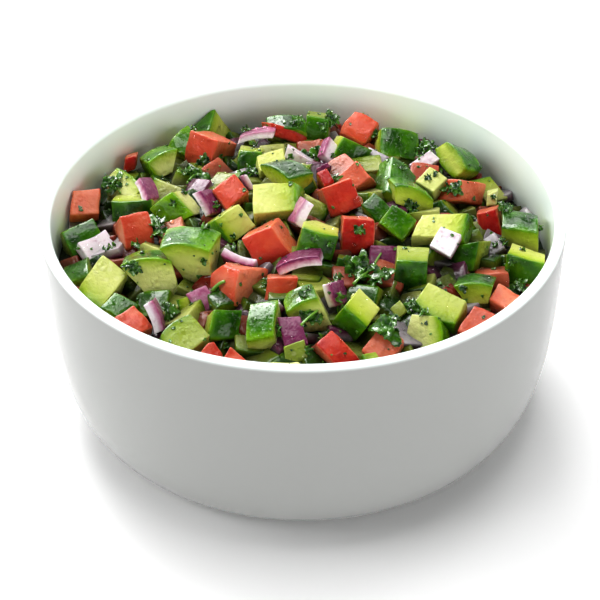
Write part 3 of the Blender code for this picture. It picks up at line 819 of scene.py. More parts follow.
def closed_faces(start, rings, steps):
    """Faces of a closed shape: a point, the rings numbered after it, and a last point."""
    end = start + 1 + (rings - 1) * steps
    return dish_faces(start, rings, steps) + [(end + a, end + steps, end + b) for a, b in neighbours(steps)]


def turned_rings(outline, steps):
    """Points of an outline turned about Z: its first point, on the axis, and a ring for each other one."""
    angles = [math.tau * step / steps for step in range(steps)]
    rings = [(r * math.cos(angle), r * math.sin(angle), z) for r, z in outline[1:] for angle in angles]
    return [(0, 0, outline[0][1])] + rings


def turned_solid(outline, steps):
    """Points and faces of a closed solid turned about Z from a half section that ends on the axis."""
    points = turned_rings(outline[:-1], steps) + [(0, 0, outline[-1][1])]
    return points, closed_faces(0, len(outline) - 2, steps)


# ---------------------------------------------------------------- materials


# The span in which most of a noise's values lie
NOISE_SPREAD = (0.3, 0.7)
# The wet surface of the cut pieces: its waves and grain, beads that gather in patches, and its film
FILM_BEAD_SIZE = 0.9 * MM
FILM_BEADS = (0.57, 0.66)
WET_PATCH_SIZE = 5 * MM
WET_PATCHES = (0.52, 0.60)
WET_BEAD_SIZE = 1.5 * MM
WET_BEADS = (0.75, 0.1)
WET_WAVE_SIZE = 2.2 * MM
WET_GRAIN_SIZE = 0.7 * MM
FILM_IOR = 1.33
FLESH_IOR = 1.38
# What shows in each vegetable. Pairs are the size and the depth of waves, or the depths or distances at
# which a finish ends and is at its fullest.
CUCUMBER_WAVES = (1.8 * MM, 0.9 * MM)
CUCUMBER_SKIN = (0.7 * MM, 0.2 * MM)
CUCUMBER_PALE_EDGE = (1.6 * MM, 0.1 * MM)
CUCUMBER_STREAK_SIZE = 1.6 * MM
CUCUMBER_PATCH_SIZE = 9 * MM
CUCUMBER_FLESH_DEPTH = 8 * MM
MOTTLE_SIZE = 5 * MM
FIBRE_SIZE = 1.2 * MM
SEED_SIZE = 3.2 * MM
TOMATO_WAVES = (2 * MM, 0.9 * MM)
TOMATO_SKIN = (1.0 * MM, 0.55 * MM)
TOMATO_EDGE_WAVES = (1.5 * MM, 0.5 * MM)
TOMATO_PALE_EDGE = (0.65 * MM, 0.3 * MM)
TOMATO_CLOUD_SIZE = 8 * MM
TOMATO_VEIN_SIZE = 1.3 * MM
TOMATO_CORE_SIZE = 2.2 * MM
TOMATO_BLUSH_SIZE = 6 * MM
ONION_WAVES = (1.6 * MM, 1.4 * MM)
ONION_TONE_DEPTH = 1.6 * MM
ONION_VEIN_SIZE = 1.6 * MM
ONION_STAIN_SIZE = 2.6 * MM
# How coarsely the sheen changes on cucumber, on the other vegetables and on the glaze
CUCUMBER_SHEEN_SIZE = 1.2 * MM
SHEEN_SIZE = 1.5 * MM
GLAZE_SHEEN_SIZE = 18 * MM
# Patches of colour, and the size and the depth of reliefs, on the other pieces
LEAF_CLOUD_SIZE = 2.2 * MM
LEAF_RELIEF = (0.9 * MM, 0.08 * MM)
STEM_CLOUD_SIZE = 3 * MM
STEM_RELIEF = (1 * MM, 0.15 * MM)
CORE_PATCH_SIZE = 6 * MM
CORE_RELIEF = (2.5 * MM, 0.8 * MM)
DRESSING_RELIEF = (1.5 * MM, 0.05 * MM)
GLAZE_CLOUD_SIZE = 30 * MM
GLAZE_RELIEF = (9 * MM, 0.02 * MM)
TABLE_CLOUD_SIZE = 60 * MM
TABLE_CLOUD = 0.995


class Nodes:
    """Short calls for building one material's node tree."""

    def __init__(self, name):
        self.material = bpy.data.materials.new(name)
        self.material.use_nodes = True
        self.tree = self.material.node_tree
        self.shader = self.tree.nodes["Principled BSDF"]

    def add(self, kind, **settings):
        """Add a node with some of its settings."""
        node = self.tree.nodes.new(kind)
        for key, value in settings.items():
            setattr(node, key, value)
        return node

    def feed(self, source, target):
        """Wire one socket to another."""
        self.tree.links.new(source, target)

    def give(self, item, socket):
        """Set a socket to a number or a colour, or wire it to another node's output."""
        if isinstance(item, bpy.types.NodeSocket):
            self.feed(item, socket)
        elif isinstance(item, (int, float)):
            socket.default_value = item
        else:
            socket.default_value = (*item, 1)

    def value(self, name):
        """A number kept at the mesh's points."""
        return self.add("ShaderNodeAttribute", attribute_name=name).outputs["Fac"]

    def place(self):
        """Where a point of the surface lies."""
        return self.add("ShaderNodeTexCoord").outputs["Object"]

    def noise(self, size, detail=2.0, roughness=0.5, distortion=0.0):
        """Noise whose features measure about a given size in metres, as its 0 to 1 output."""
        node = self.add("ShaderNodeTexNoise")
        node.inputs["Scale"].default_value = 1 / size
        node.inputs["Detail"].default_value = detail
        node.inputs["Roughness"].default_value = roughness
        node.inputs["Distortion"].default_value = distortion
        self.feed(self.place(), node.inputs["Vector"])
        return node.outputs["Fac"]

    def waves(self, size, depth, detail=2.0, middle=0.5):
        """Noise as a depth, up and down from its middle value."""
        return self.math("MULTIPLY", self.math("SUBTRACT", self.noise(size, detail), middle), depth)

    def uneven(self, size, detail, low, high):
        """A value that changes from place to place between two ends."""
        return self.span(self.noise(size, detail), *NOISE_SPREAD, low, high)

    def cells(self, size):
        """Distance to the nearest of many points that lie about a given size apart."""
        node = self.add("ShaderNodeTexVoronoi")
        node.inputs["Scale"].default_value = 1 / size
        self.feed(self.place(), node.inputs["Vector"])
        return node.outputs["Distance"]

    def math(self, operation, first, second, clamp=False):
        """A sum, a product or the like of two items."""
        node = self.add("ShaderNodeMath", operation=operation, use_clamp=clamp)
        for socket, item in zip(node.inputs, (first, second)):
            self.give(item, socket)
        return node.outputs[0]

    def span(self, item, low, high, to_low=0.0, to_high=1.0):
        """A value's share of a span, held between its ends."""
        node = self.add("ShaderNodeMapRange", clamp=True)
        self.feed(item, node.inputs["Value"])
        for socket, number in zip(list(node.inputs)[1:5], (low, high, to_low, to_high)):
            socket.default_value = number
        return node.outputs["Result"]

    def ramp(self, item, stops):
        """Colours along a value, from (place, colour) stops."""
        node = self.add("ShaderNodeValToRGB")
        elements = node.color_ramp.elements
        while len(elements) < len(stops):
            elements.new(0.5)
        for element, (place, colour) in zip(elements, stops):
            element.position = place
            element.color = (*colour, 1)
        self.feed(item, node.inputs["Fac"])
        return node.outputs["Color"]

    def mix(self, share, first, second):
        """Two colours mixed by a share of the second."""
        node = self.add("ShaderNodeMix", data_type="RGBA")
        # Of the node's sockets for every kind of value, these are the share's and the colours'
        for socket, item in ((node.inputs[0], share), (node.inputs[6], first), (node.inputs[7], second)):
            self.give(item, socket)
        return node.outputs[2]

    def bump(self, height, distance, under=None):
        """The normal of a relief, over another one where that is given."""
        node = self.add("ShaderNodeBump")
        node.inputs["Distance"].default_value = distance
        self.feed(height, node.inputs["Height"])
        if under is not None:
            self.feed(under, node.inputs["Normal"])
        return node.outputs["Normal"]

    def relief(self, size, depth, detail=2.0):
        """The normal of a relief made of noise."""
        return self.bump(self.noise(size, detail), depth)

    def finish(self, colour, roughness, normal=None, film=None, wet=None, **fixed):
        """Wire the shader: colour and roughness from nodes or numbers, the rest fixed numbers."""
        for name, item in (("Base Color", colour), ("Roughness", roughness)):
            self.give(item, self.shader.inputs[name])
        if normal is not None:
            self.feed(normal, self.shader.inputs["Normal"])
        if film is not None:
            self.feed(film, self.shader.inputs["Coat Normal"])
        if wet is not None:
            self.give(wet, self.shader.inputs["Coat Weight"])
        for name, number in fixed.items():
            self.shader.inputs[name.replace("_", " ")].default_value = number
        return self.material


def film_normal(nodes, depth, size):
    """Bump of the dressing's own film, for the coat: slow waves and small beads."""
    waves = nodes.relief(size, depth, 1.0)
    beads = nodes.span(nodes.noise(FILM_BEAD_SIZE, 1.0), *FILM_BEADS)
    return nodes.bump(beads, depth, waves)


def wet_normal(nodes, waves, beads, grain):
    """Bump of a wet cut surface: soft waves, fine grain and beads of dressing in patches."""
    patches = nodes.span(nodes.noise(WET_PATCH_SIZE), *WET_PATCHES)
    bead = nodes.math("MULTIPLY", nodes.span(nodes.cells(WET_BEAD_SIZE), *WET_BEADS), patches)
    soft = nodes.bump(nodes.noise(WET_WAVE_SIZE, 4.0, 0.6), waves)
    soft = nodes.bump(nodes.noise(WET_GRAIN_SIZE), grain, soft)
    return nodes.bump(bead, beads, soft)


def vegetable(nodes, looks, body, roughness, relief, film, wet, **fixed):
    """Finish a cut vegetable, darkened with painted shade deep between the pieces, with its wet relief under
    the film.
    """
    # Painted shade: the colour is mixed towards near black by the point's share of shade
    shade = nodes.math("MULTIPLY", nodes.value("low"), LOW_SHARE)
    colour = nodes.mix(shade, body, looks.painted_shade_dark)
    return nodes.finish(
        colour, roughness, wet_normal(nodes, *relief), film_normal(nodes, *film), wet,
        Coat_IOR=FILM_IOR, IOR=FLESH_IOR, **fixed,
    )


def cucumber_skin(nodes, looks, wavy):
    """Green skin with streaks and patches, paler along its cut edges."""
    streaks = nodes.span(nodes.noise(CUCUMBER_STREAK_SIZE, 4.0, 0.6), 0.35, 0.7, -0.12, 0.12)
    patches = nodes.span(nodes.noise(CUCUMBER_PATCH_SIZE), 0.40, 0.62)
    patches = nodes.math("MULTIPLY", nodes.math("ADD", patches, streaks, clamp=True), 0.45)
    tone = nodes.math("SUBTRACT", nodes.span(nodes.value("tone"), 0, 1, 0, 0.5), 0.12)
    pale = nodes.math("ADD", patches, tone, clamp=True)
    edge = nodes.math("ADD", nodes.value("edge"), wavy)
    pale = nodes.math("ADD", pale, nodes.span(edge, *CUCUMBER_PALE_EDGE, 0, 0.3), clamp=True)
    return nodes.ramp(pale, [
        (0.0, looks.skin_dark),
        (0.45, looks.skin_green),
        (1.0, looks.skin_light),
    ])


def cucumber_flesh(nodes, looks, depth):
    """Flesh from the green ring under the skin to the pale middle with its seeds."""
    tone = nodes.value("tone")
    share = nodes.span(depth, 0, CUCUMBER_FLESH_DEPTH)
    flesh = nodes.ramp(share, [
        (0.0, looks.ring),
        (0.10, looks.ring),
        (0.30, looks.flesh_outer),
        (0.62, looks.flesh),
        (1.0, looks.flesh_inner),
    ])
    cream = nodes.math("MULTIPLY", nodes.span(tone, 0.5, 1, 0, 0.7), nodes.span(share, 0.1, 0.5))
    flesh = nodes.mix(cream, flesh, looks.flesh_cream)
    flesh = nodes.mix(nodes.span(tone, 0.3, 0, 0, 0.75), flesh, looks.flesh_deep)
    mottle = nodes.span(nodes.noise(MOTTLE_SIZE), 0.38, 0.68)
    mottle = nodes.math("MULTIPLY", mottle, nodes.span(nodes.value("lot"), 0, 1, 0, 0.4))
    flesh = nodes.mix(mottle, flesh, looks.flesh_shade)
    fibres = nodes.span(nodes.noise(FIBRE_SIZE, 3.0, 0.6), 0.45, 0.7, 0, 0.14)
    flesh = nodes.mix(fibres, flesh, looks.flesh_outer)
    seeds = nodes.span(nodes.cells(SEED_SIZE), 0.30, 0.2)
    seeds = nodes.math("MULTIPLY", seeds, nodes.span(share, 0.85, 0.98))
    return nodes.mix(nodes.math("MULTIPLY", seeds, 0.2), flesh, looks.seed)


def cucumber_material(looks):
    """Diced cucumber: flesh under a thin green skin."""
    nodes = Nodes("cucumber")
    wavy = nodes.waves(*CUCUMBER_WAVES)
    depth = nodes.math("ADD", nodes.value("skin_depth"), wavy)
    on_skin = nodes.span(depth, *CUCUMBER_SKIN)
    body = nodes.mix(on_skin, cucumber_flesh(nodes, looks, depth), cucumber_skin(nodes, looks, wavy))
    return vegetable(
        nodes, looks, body,
        roughness=nodes.uneven(CUCUMBER_SHEEN_SIZE, 3.0, 0.25, 0.42),
        relief=(0.5 * MM, 0.25 * MM, 0.05 * MM),
        film=(0.2 * MM, 3.5 * MM),
        wet=nodes.mix(on_skin, (0.35,) * 3, (0.9,) * 3),
        Specular_IOR_Level=0.12, Coat_Roughness=0.03, Subsurface_Weight=0.2,
        Subsurface_Radius=(0.8, 1.0, 0.4), Subsurface_Scale=0.8 * MM,
    )


def tomato_skin(nodes, looks):
    """Red skin, paler by the piece's tone and in clouds."""
    clouds = nodes.span(nodes.noise(TOMATO_BLUSH_SIZE), 0.35, 0.65, -0.12, 0.12)
    return nodes.ramp(nodes.math("ADD", nodes.value("tone"), clouds, clamp=True), [
        (0.0, looks.tomato_deep),
        (0.16, looks.tomato_skin),
        (0.38, looks.tomato_bright),
        (0.65, looks.tomato_orange),
        (1.0, looks.tomato_pale),
    ])


def tomato_flesh(nodes, looks):
    """Flesh from deep red to pale, with pale veins and small red cores."""
    lot = nodes.math("MULTIPLY", nodes.value("lot"), 0.2)
    cloud = nodes.span(nodes.noise(TOMATO_CLOUD_SIZE), 0.38, 0.66, -0.08, 0.36)
    tone = nodes.math("MULTIPLY", nodes.value("tone"), 0.5)
    flesh = nodes.ramp(nodes.math("ADD", tone, nodes.math("ADD", lot, cloud), clamp=True), [
        (0.0, looks.tomato_deep),
        (0.22, looks.tomato_red),
        (0.5, looks.tomato_orange),
        (0.9, looks.tomato_pale),
    ])
    veins = nodes.span(nodes.noise(TOMATO_VEIN_SIZE, 3.0, 0.6, 0.5), 0.48, 0.68, 0, 0.22)
    flesh = nodes.mix(veins, flesh, looks.tomato_pale)
    cores = nodes.span(nodes.cells(TOMATO_CORE_SIZE), 0.12, 0.3, 0.35, 0)
    return nodes.mix(cores, flesh, looks.tomato_red)


def tomato_material(looks):
    """Diced tomato: red flesh and skin, pale along the cut edges."""
    nodes = Nodes("tomato")
    depth = nodes.math("ADD", nodes.value("skin_depth"), nodes.waves(*TOMATO_WAVES, middle=0))
    edge = nodes.math("ADD", nodes.value("edge"), nodes.waves(*TOMATO_EDGE_WAVES, middle=0))
    body = nodes.mix(nodes.span(depth, *TOMATO_SKIN), tomato_flesh(nodes, looks), tomato_skin(nodes, looks))
    body = nodes.mix(nodes.span(edge, *TOMATO_PALE_EDGE, 0, 0.4), body, looks.tomato_pale)
    return vegetable(
        nodes, looks, body,
        roughness=nodes.uneven(SHEEN_SIZE, 3.0, 0.25, 0.42),
        relief=(0.4 * MM, 0.22 * MM, 0.04 * MM),
        film=(0.16 * MM, 4 * MM),
        wet=0.25,
        Specular_IOR_Level=0.15, Coat_Roughness=0.05, Subsurface_Weight=0.35,
        Subsurface_Radius=(1.0, 0.35, 0.15), Subsurface_Scale=1.5 * MM,
    )


def onion_material(looks):
    """Red onion: purple on the outer side of its layer and pale within."""
    nodes = Nodes("onion")
    depth = nodes.math("ADD", nodes.value("skin_depth"), nodes.waves(*ONION_WAVES, 3.0))
    tone = nodes.math("MULTIPLY", nodes.math("SUBTRACT", nodes.value("tone"), 0.4), ONION_TONE_DEPTH)
    body = nodes.ramp(nodes.span(nodes.math("ADD", depth, tone), 0, ONION_THICK), [
        (0.0, looks.onion_dark),
        (0.16, looks.onion_purple),
        (0.42, looks.onion_lilac),
        (0.75, looks.onion_pale),
    ])
    veins = nodes.span(nodes.noise(ONION_VEIN_SIZE, 3.0, 0.6, 0.8), 0.5, 0.72, 0, 0.25)
    body = nodes.mix(veins, body, looks.onion_lilac)
    stains = nodes.span(nodes.noise(ONION_STAIN_SIZE, 3.0, 0.6), 0.60, 0.74, 0, 0.5)
    body = nodes.mix(stains, body, looks.onion_purple)
    return vegetable(
        nodes, looks, body,
        roughness=nodes.uneven(SHEEN_SIZE, 2.0, 0.25, 0.4),
        relief=(0.3 * MM, 0.2 * MM, 0.03 * MM),
        film=(0.15 * MM, 3.5 * MM),
        wet=0.5,
        Specular_IOR_Level=0.15, Coat_Roughness=0.05, Subsurface_Weight=0.35,
        Subsurface_Radius=(1.0, 0.7, 1.0), Subsurface_Scale=1.0 * MM,
    )


def parsley_material(looks):
    """Parsley leaves in two greens."""
    nodes = Nodes("parsley")
    cloud = nodes.span(nodes.noise(LEAF_CLOUD_SIZE, 3.0), 0.38, 0.66)
    colour = nodes.mix(cloud, looks.leaf_dark, looks.leaf_light)
    normal = nodes.relief(*LEAF_RELIEF, 3.0)
    film = film_normal(nodes, 0.06 * MM, 2 * MM)
    return nodes.finish(
        colour, 0.28, normal, film, 0.6, Subsurface_Weight=0.2, Subsurface_Radius=(0.5, 1.0, 0.2),
        Subsurface_Scale=0.5 * MM, Specular_IOR_Level=0.4, Coat_Roughness=0.1, Coat_IOR=1.45,
    )


def stem_material(looks):
    """Pale green parsley stems."""
    nodes = Nodes("parsley stem")
    colour = nodes.mix(nodes.noise(STEM_CLOUD_SIZE), looks.stem, looks.leaf_light)
    return nodes.finish(colour, 0.3, nodes.relief(*STEM_RELIEF), Coat_Weight=0.4)


def core_material(looks):
    """What lies under the dice, in patches of their colours darkened to painted shade."""
    nodes = Nodes("salad underneath")
    colour = nodes.ramp(nodes.noise(CORE_PATCH_SIZE, 3.0), [
        (0.35, looks.painted_shade_dark),
        (0.5, looks.painted_shade_green),
        (0.62, looks.painted_shade_purple),
    ])
    return nodes.finish(colour, 0.55, nodes.relief(*CORE_RELIEF, 3.0), Specular_IOR_Level=0.3)


def dressing_material():
    """Clear dressing."""
    nodes = Nodes("dressing")
    normal = nodes.relief(*DRESSING_RELIEF)
    return nodes.finish((0.98, 1.0, 0.96), 0.03, normal, Transmission_Weight=1.0, IOR=1.36)


def glaze_material(looks):
    """The bowl's white glaze, painted grey outside: painted shade that stands in for the shade on its outer
    side.
    """
    nodes = Nodes("white glaze")
    # The outside's painted shade grey, with faint random clouds of the same grey inside
    cloud = nodes.uneven(GLAZE_CLOUD_SIZE, 2.0, 0, 0.05)
    outside = nodes.math("MAXIMUM", nodes.value("outside"), cloud)
    colour = nodes.mix(outside, looks.glaze, looks.glaze_outside_painted_shade)
    roughness = nodes.uneven(GLAZE_SHEEN_SIZE, 3.0, 0.16, 0.22)
    return nodes.finish(colour, roughness, nodes.relief(*GLAZE_RELIEF), Specular_IOR_Level=0.12, IOR=1.5)


def floor_material(looks):
    """The white table."""
    nodes = Nodes("table")
    cloud = tuple(value * TABLE_CLOUD for value in looks.floor)
    return nodes.finish(nodes.mix(nodes.noise(TABLE_CLOUD_SIZE), looks.floor, cloud), 0.6)


# ---------------------------------------------------------------- settings


def size(name, default, description):
    """A setting for a length."""
    return FloatProperty(name=name, default=default, description=description, unit="LENGTH", precision=4)


def power(name, default, description):
    """A setting for a light's power."""
    return FloatProperty(name=name, default=default, min=0, description=description, subtype="POWER")


def strength(name, default, description):
    """A setting for the strength of the sky's light."""
    return FloatProperty(name=name, default=default, min=0, description=description)


def number(name, default, description):
    """A setting for a number of pieces."""
    return IntProperty(name=name, default=default, min=0, description=description)


def colour(name, red, green, blue, description):
    """A setting for a colour, given as 0 to 255 screen values."""
    return FloatVectorProperty(
        name=name, default=linear(red, green, blue), description=description, subtype="COLOR", min=0, max=1,
    )


class SALAD_PG_looks(bpy.types.PropertyGroup):
    """Colours of the bowl, the vegetables and the table, with painted shade on the bowl's outside and in the
    heap's gaps, and painted light in the glaze's tint.
    """

    # The glaze is white, with a slight green tint that is painted light: the cast of light bounced off the
    # salad
    glaze: colour("Glaze", 244, 254, 252, "The bowl's white glaze inside and on the lip")
    # Painted shade: a mid grey for the shade on the bowl's outer side, whose glaze is white like the inside
    glaze_outside_painted_shade: colour("Glaze outside", 165, 166, 164, "The bowl's white glaze outside")
    skin_dark: colour("Dark skin", 20, 64, 1, "Cucumber skin where it is darkest")
    skin_green: colour("Green skin", 62, 120, 3, "Cucumber skin where it is green")
    skin_light: colour("Light skin", 128, 178, 16, "Cucumber skin where it is palest")
    ring: colour("Ring", 128, 162, 14, "Cucumber flesh just under the skin")
    flesh_outer: colour("Outer flesh", 178, 196, 62, "Cucumber flesh near the skin")
    flesh: colour("Flesh", 200, 208, 98, "Cucumber flesh")
    flesh_inner: colour("Inner flesh", 212, 216, 122, "Cucumber flesh round the seeds")
    flesh_cream: colour("Cream flesh", 232, 234, 168, "The palest cucumber flesh")
    flesh_deep: colour("Deep flesh", 112, 136, 30, "Cucumber flesh at its greenest")
    flesh_shade: colour("Flesh shade", 160, 180, 60, "Wetter patches in the cucumber flesh")
    seed: colour("Seeds", 242, 240, 190, "Cucumber seeds")
    tomato_skin: colour("Tomato skin", 176, 36, 30, "Red tomato skin")
    tomato_bright: colour("Bright tomato skin", 198, 62, 42, "Bright orange-red tomato skin")
    tomato_deep: colour("Deep tomato", 172, 12, 8, "The darkest tomato flesh")
    tomato_red: colour("Red tomato", 192, 66, 44, "Red tomato flesh")
    tomato_orange: colour("Orange tomato", 207, 87, 57, "Orange tomato flesh")
    tomato_pale: colour("Pale tomato", 222, 138, 104, "The palest tomato flesh")
    onion_dark: colour("Onion skin", 122, 44, 88, "The outer side of an onion's layer")
    onion_purple: colour("Purple onion", 168, 84, 124, "Purple onion flesh")
    onion_lilac: colour("Lilac onion", 208, 164, 184, "Lilac onion flesh")
    onion_pale: colour("Pale onion", 243, 232, 238, "The palest onion flesh")
    leaf_dark: colour("Dark leaf", 18, 64, 8, "Parsley leaves where they are darkest")
    leaf_light: colour("Light leaf", 86, 144, 30, "Parsley leaves where they are lightest")
    stem: colour("Stem", 140, 190, 70, "Parsley stems")
    # Painted shade: near black and dark tints of cucumber and onion, for the shade deep in the heap's gaps
    painted_shade_dark: colour("Underneath", 8, 16, 5, "The deepest gaps of the heap")
    painted_shade_green: colour("Underneath green", 26, 48, 8, "Cucumber deep in the gaps")
    painted_shade_purple: colour("Underneath purple", 44, 14, 26, "Onion deep in the gaps")
    floor: colour("Table", 250, 250, 250, "The table")


class SALAD_PG_sizes(bpy.types.PropertyGroup):
    """Sizes and numbers of what a cook or a photographer would change."""

    leaf_thick: size("Leaf thickness", 0.3 * MM, "Thickness of a parsley leaf")
    fleck_small: size("Smallest fleck", 0.8 * MM, "Width of the smallest chopped parsley fleck")
    fleck_large: size("Largest fleck", 2.6 * MM, "Width of the largest chopped parsley fleck")
    drop_small: size("Smallest drop", 0.35 * MM, "Radius of the smallest drop of dressing")
    drop_large: size("Largest drop", 1.1 * MM, "Radius of the largest drop of dressing")
    leaves: number("Leaves", 60, "Number of loose parsley leaves")
    flecks: number("Flecks", 260, "Number of parsley flecks")
    drops: number("Drops", 170, "Number of drops of dressing")
    window_power: power("Window", 12.5, "Power of the tall light behind and a little to the left")
    back_left_power: power("Back left light", 8.5, "Power of the low, wide light behind and to the left")
    left_power: power("Left light", 2.5, "Power of the low, wide light on the left")
    high_left_power: power("High left light", 5.5, "Power of the higher light on the left")
    right_power: power("Right light", 6, "Power of the low light on the right")
    back_right_power: power("Back right light", 1.5, "Power of the light behind and to the right")
    gloss_power: power("Gloss card", 46, "Power of the card that shows in reflections alone")
    top_power: power("Top light", 12.5, "Power of the light overhead")
    horizon: strength("Horizon", 1.45, "Strength of the low light all round")
    sky: strength("Sky", 0.04, "Strength of the even light overhead")


# ---------------------------------------------------------------- the bowl and the core


LIP_STEPS = 14
BOWL_SIDE_STEPS = 30
BOWL_SEGMENTS = 180
CORE_SEGMENTS = 120
CORE_RINGS = 40
CORE_LUMP = 1.3 * MM
CORE_LUMP_SCALE = 6 * MM
CORE_LUMP_START = 0.5 * MM
FLOOR_RUN = 30 * MM
FLOOR_STEPS = 4
# How far within the bowl's outer side its painted shade grey starts, and the run over which it comes in full
OUTSIDE_START = 0.45 * MM
OUTSIDE_RUN = 0.4 * MM


def bowl_outline():
    """Half section of the bowl, from the middle of its floor inside, over the lip, to its base."""
    lip = WALL / 2
    flat = [(FLOOR_RUN * step / FLOOR_STEPS, FLOOR) for step in range(FLOOR_STEPS + 1)]
    inside = [(inner_radius(z), z) for z in side_heights(FLOOR, BOWL_HEIGHT - lip, BOWL_SIDE_STEPS)]
    middle = BOWL_RADIUS - lip
    turns = [math.pi * (1 - step / LIP_STEPS) for step in range(1, LIP_STEPS)]
    over = [(middle + lip * math.cos(turn), BOWL_HEIGHT - lip + lip * math.sin(turn)) for turn in turns]
    outside = [(outer_radius(z), z) for z in reversed(side_heights(0, BOWL_HEIGHT - lip, BOWL_SIDE_STEPS))]
    return flat + inside + over + outside + [(BASE_RADIUS, 0), (BASE_RADIUS / 2, 0), (0, 0)]


def outside_share(x, y, z):
    """The share of painted shade grey on the glaze: 1 on the bowl's outer side and under it, 0 inside it,
    turning over at the lip's outer half.
    """
    if z < FLOOR / 2:
        return 1
    return min(max((math.hypot(x, y) - outer_radius(z) + OUTSIDE_START) / OUTSIDE_RUN, 0), 1)


def core_points():
    """The heap's core: a lumpy dome over the bowl's inside, kept clear of it."""
    rim_height = DOME_EDGE - CORE_BELOW_DOME
    reach = inner_radius(rim_height) - CLEARANCE
    radii = [reach * ring / CORE_RINGS for ring in range(CORE_RINGS + 1)]
    top = [(r, dome(r, 0) - CORE_BELOW_DOME) for r in radii]
    heights = list(reversed(side_heights(FLOOR, rim_height, BOWL_SIDE_STEPS)))[1:]
    side = [(inner_radius(z) - CLEARANCE, z + CLEARANCE) for z in heights]
    outline = top + side + [(FLOOR_RUN, FLOOR + CLEARANCE), (0, FLOOR + CLEARANCE)]
    points, faces = turned_solid(outline, CORE_SEGMENTS)
    lumpy = []
    for x, y, z in points:
        if z > rim_height + CORE_LUMP_START:
            z += CORE_LUMP * noise.noise(Vector((x, y, z)) / CORE_LUMP_SCALE)
        lumpy.append((x, y, z))
    return lumpy, faces


class SALAD_OT_bowl(bpy.types.Operator):
    """Turn the glazed bowl"""

    bl_idname = "salad.bowl"
    bl_label = "Bowl"

    def execute(self, context):
        points, faces = turned_solid(bowl_outline(), BOWL_SEGMENTS)
        made = mesh_object("glazed_bowl", points, faces, glaze_material(context.scene.salad_looks))
        # Where the glaze takes the painted shade grey of the bowl's outside
        keep_values(made.data, "outside", [outside_share(*point) for point in points])
        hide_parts("bowl")
        return {"FINISHED"}


class SALAD_OT_core(bpy.types.Operator):
    """Fill the bowl with the heap's core"""

    bl_idname = "salad.core"
    bl_label = "Core"

    def execute(self, context):
        points, faces = core_points()
        dress(mesh_object("salad_core", points, faces, core_material(context.scene.salad_looks)))
        return {"FINISHED"}


class SALAD_OT_cucumber(bpy.types.Operator):
    """Dice the cucumber"""

    bl_idname = "salad.cucumber"
    bl_label = "Cucumber"

    def execute(self, context):
        dress(joined_pieces("diced_cucumber", "cucumber", cucumber_material(context.scene.salad_looks)))
        return {"FINISHED"}


class SALAD_OT_tomato(bpy.types.Operator):
    """Dice the tomato"""

    bl_idname = "salad.tomato"
    bl_label = "Tomato"

    def execute(self, context):
        dress(joined_pieces("diced_tomato", "tomato", tomato_material(context.scene.salad_looks)))
        return {"FINISHED"}


class SALAD_OT_onion(bpy.types.Operator):
    """Dice the red onion"""

    bl_idname = "salad.onion"
    bl_label = "Red onion"

    def execute(self, context):
        dress(joined_pieces("diced_onion", "onion", onion_material(context.scene.salad_looks)))
        return {"FINISHED"}


# ---------------------------------------------------------------- leaves, flecks and drops


LEAF_RINGS = 4
LEAF_SPOKES = 40
LEAF_NARROWING = 0.45
LEAF_FOLDS = (0.4, 1.2)
LOBE_DEPTH = 0.42
TOOTH_DEPTH = 0.09
# Of a sprig, the reach, rise and curl are shares of its width or its leaf's; of a stem, the lift is a
# share of its radius, and the taper is what it loses of it. Sways, tilts and rolls are in radians.
SPRIG_LEAVES = 6
SPRIG_REACH = 0.36
SPRIG_LIFT = 0.3 * MM
SPRIG_RISE = 0.2
SPRIG_TO_EYE = 0.5
SPRIG_SWAY = 0.3
SPRIG_TILTS = (-0.45, 0.5)
SPRIG_ROLL = 0.5
SPRIG_CURL = 0.12
SPRIG_LOBES = (3, 5)
SPRIG_LEAF_WIDTHS = (0.62, 0.92)
STEM_SIDES = 8
STEM_STEPS = 8
STEM_LIFT = 0.6
STEM_TAPER = 0.25
# Pieces of stem: where the eye sees each end, and its radius in mm
STEMS = (
    ((212, 292), (225, 282), 0.6),
    ((353, 285), (372, 270), 0.45),
    ((372, 270), (381, 254), 0.4),
    ((187, 184), (199, 171), 0.4),
    ((376, 322), (391, 338), 0.4),
    ((151, 238), (163, 222), 0.35),
    ((419, 160), (428, 147), 0.4),
    ((337, 128), (329, 119), 0.35),
    ((301, 326), (318, 311), 0.4),
    ((113, 184), (121, 194), 0.35),
)
# Loose leaves and flecks: lifts and curls are shares of their width, and a fleck's thickness of a leaf's
LOOSE_WIDTHS = (2.6 * MM, 5.2 * MM)
LOOSE_ROLL = 0.5
LOOSE_LIFT = 0.12
LOOSE_CURL = 0.2
LOOSE_LOBES = (3, 4, 5)
LOOSE_SEED = 27
FLECK_SIZE_POWER = 2.2
FLECK_THICK = 0.8
FLECK_CURL = 0.1
FLECK_LOBES = (2, 3)
FLECK_SPOKES = 12
FLECK_RINGS = 2
FLECK_SEED = 21
# How loose things fall: how far out and from how high, how much their way slopes to the sides and to the
# back, and past which edge and on how steep an overhang none stays
SCATTER_REACH = 74 * MM
SCATTER_SIDEWAYS = 0.9
SCATTER_BACK = (-1.3, 0.5)
SCATTER_HEIGHT = 60 * MM
SCATTER_EDGE = 75 * MM
SCATTER_OVERHANG = -0.1
HEAP_NAMES = ("salad_core", "diced_cucumber", "diced_tomato", "diced_onion")


def heap_tree():
    """A search tree over the finished core and dice."""
    joined = bmesh.new()
    for name in HEAP_NAMES:
        joined.from_mesh(bpy.data.objects[name].data)
    tree = BVHTree.FromBMesh(joined)
    joined.free()
    return tree


def resting_turn(normal, turn):
    """Rotation that lays a flat thing on a surface, turned about its normal."""
    return normal.to_track_quat("Z", "Y").to_matrix() @ Matrix.Rotation(turn, 3, "Z")


def swell(angle):
    """0 at an angle of 0, and 1 at half a turn."""
    return 0.5 - 0.5 * math.cos(angle)


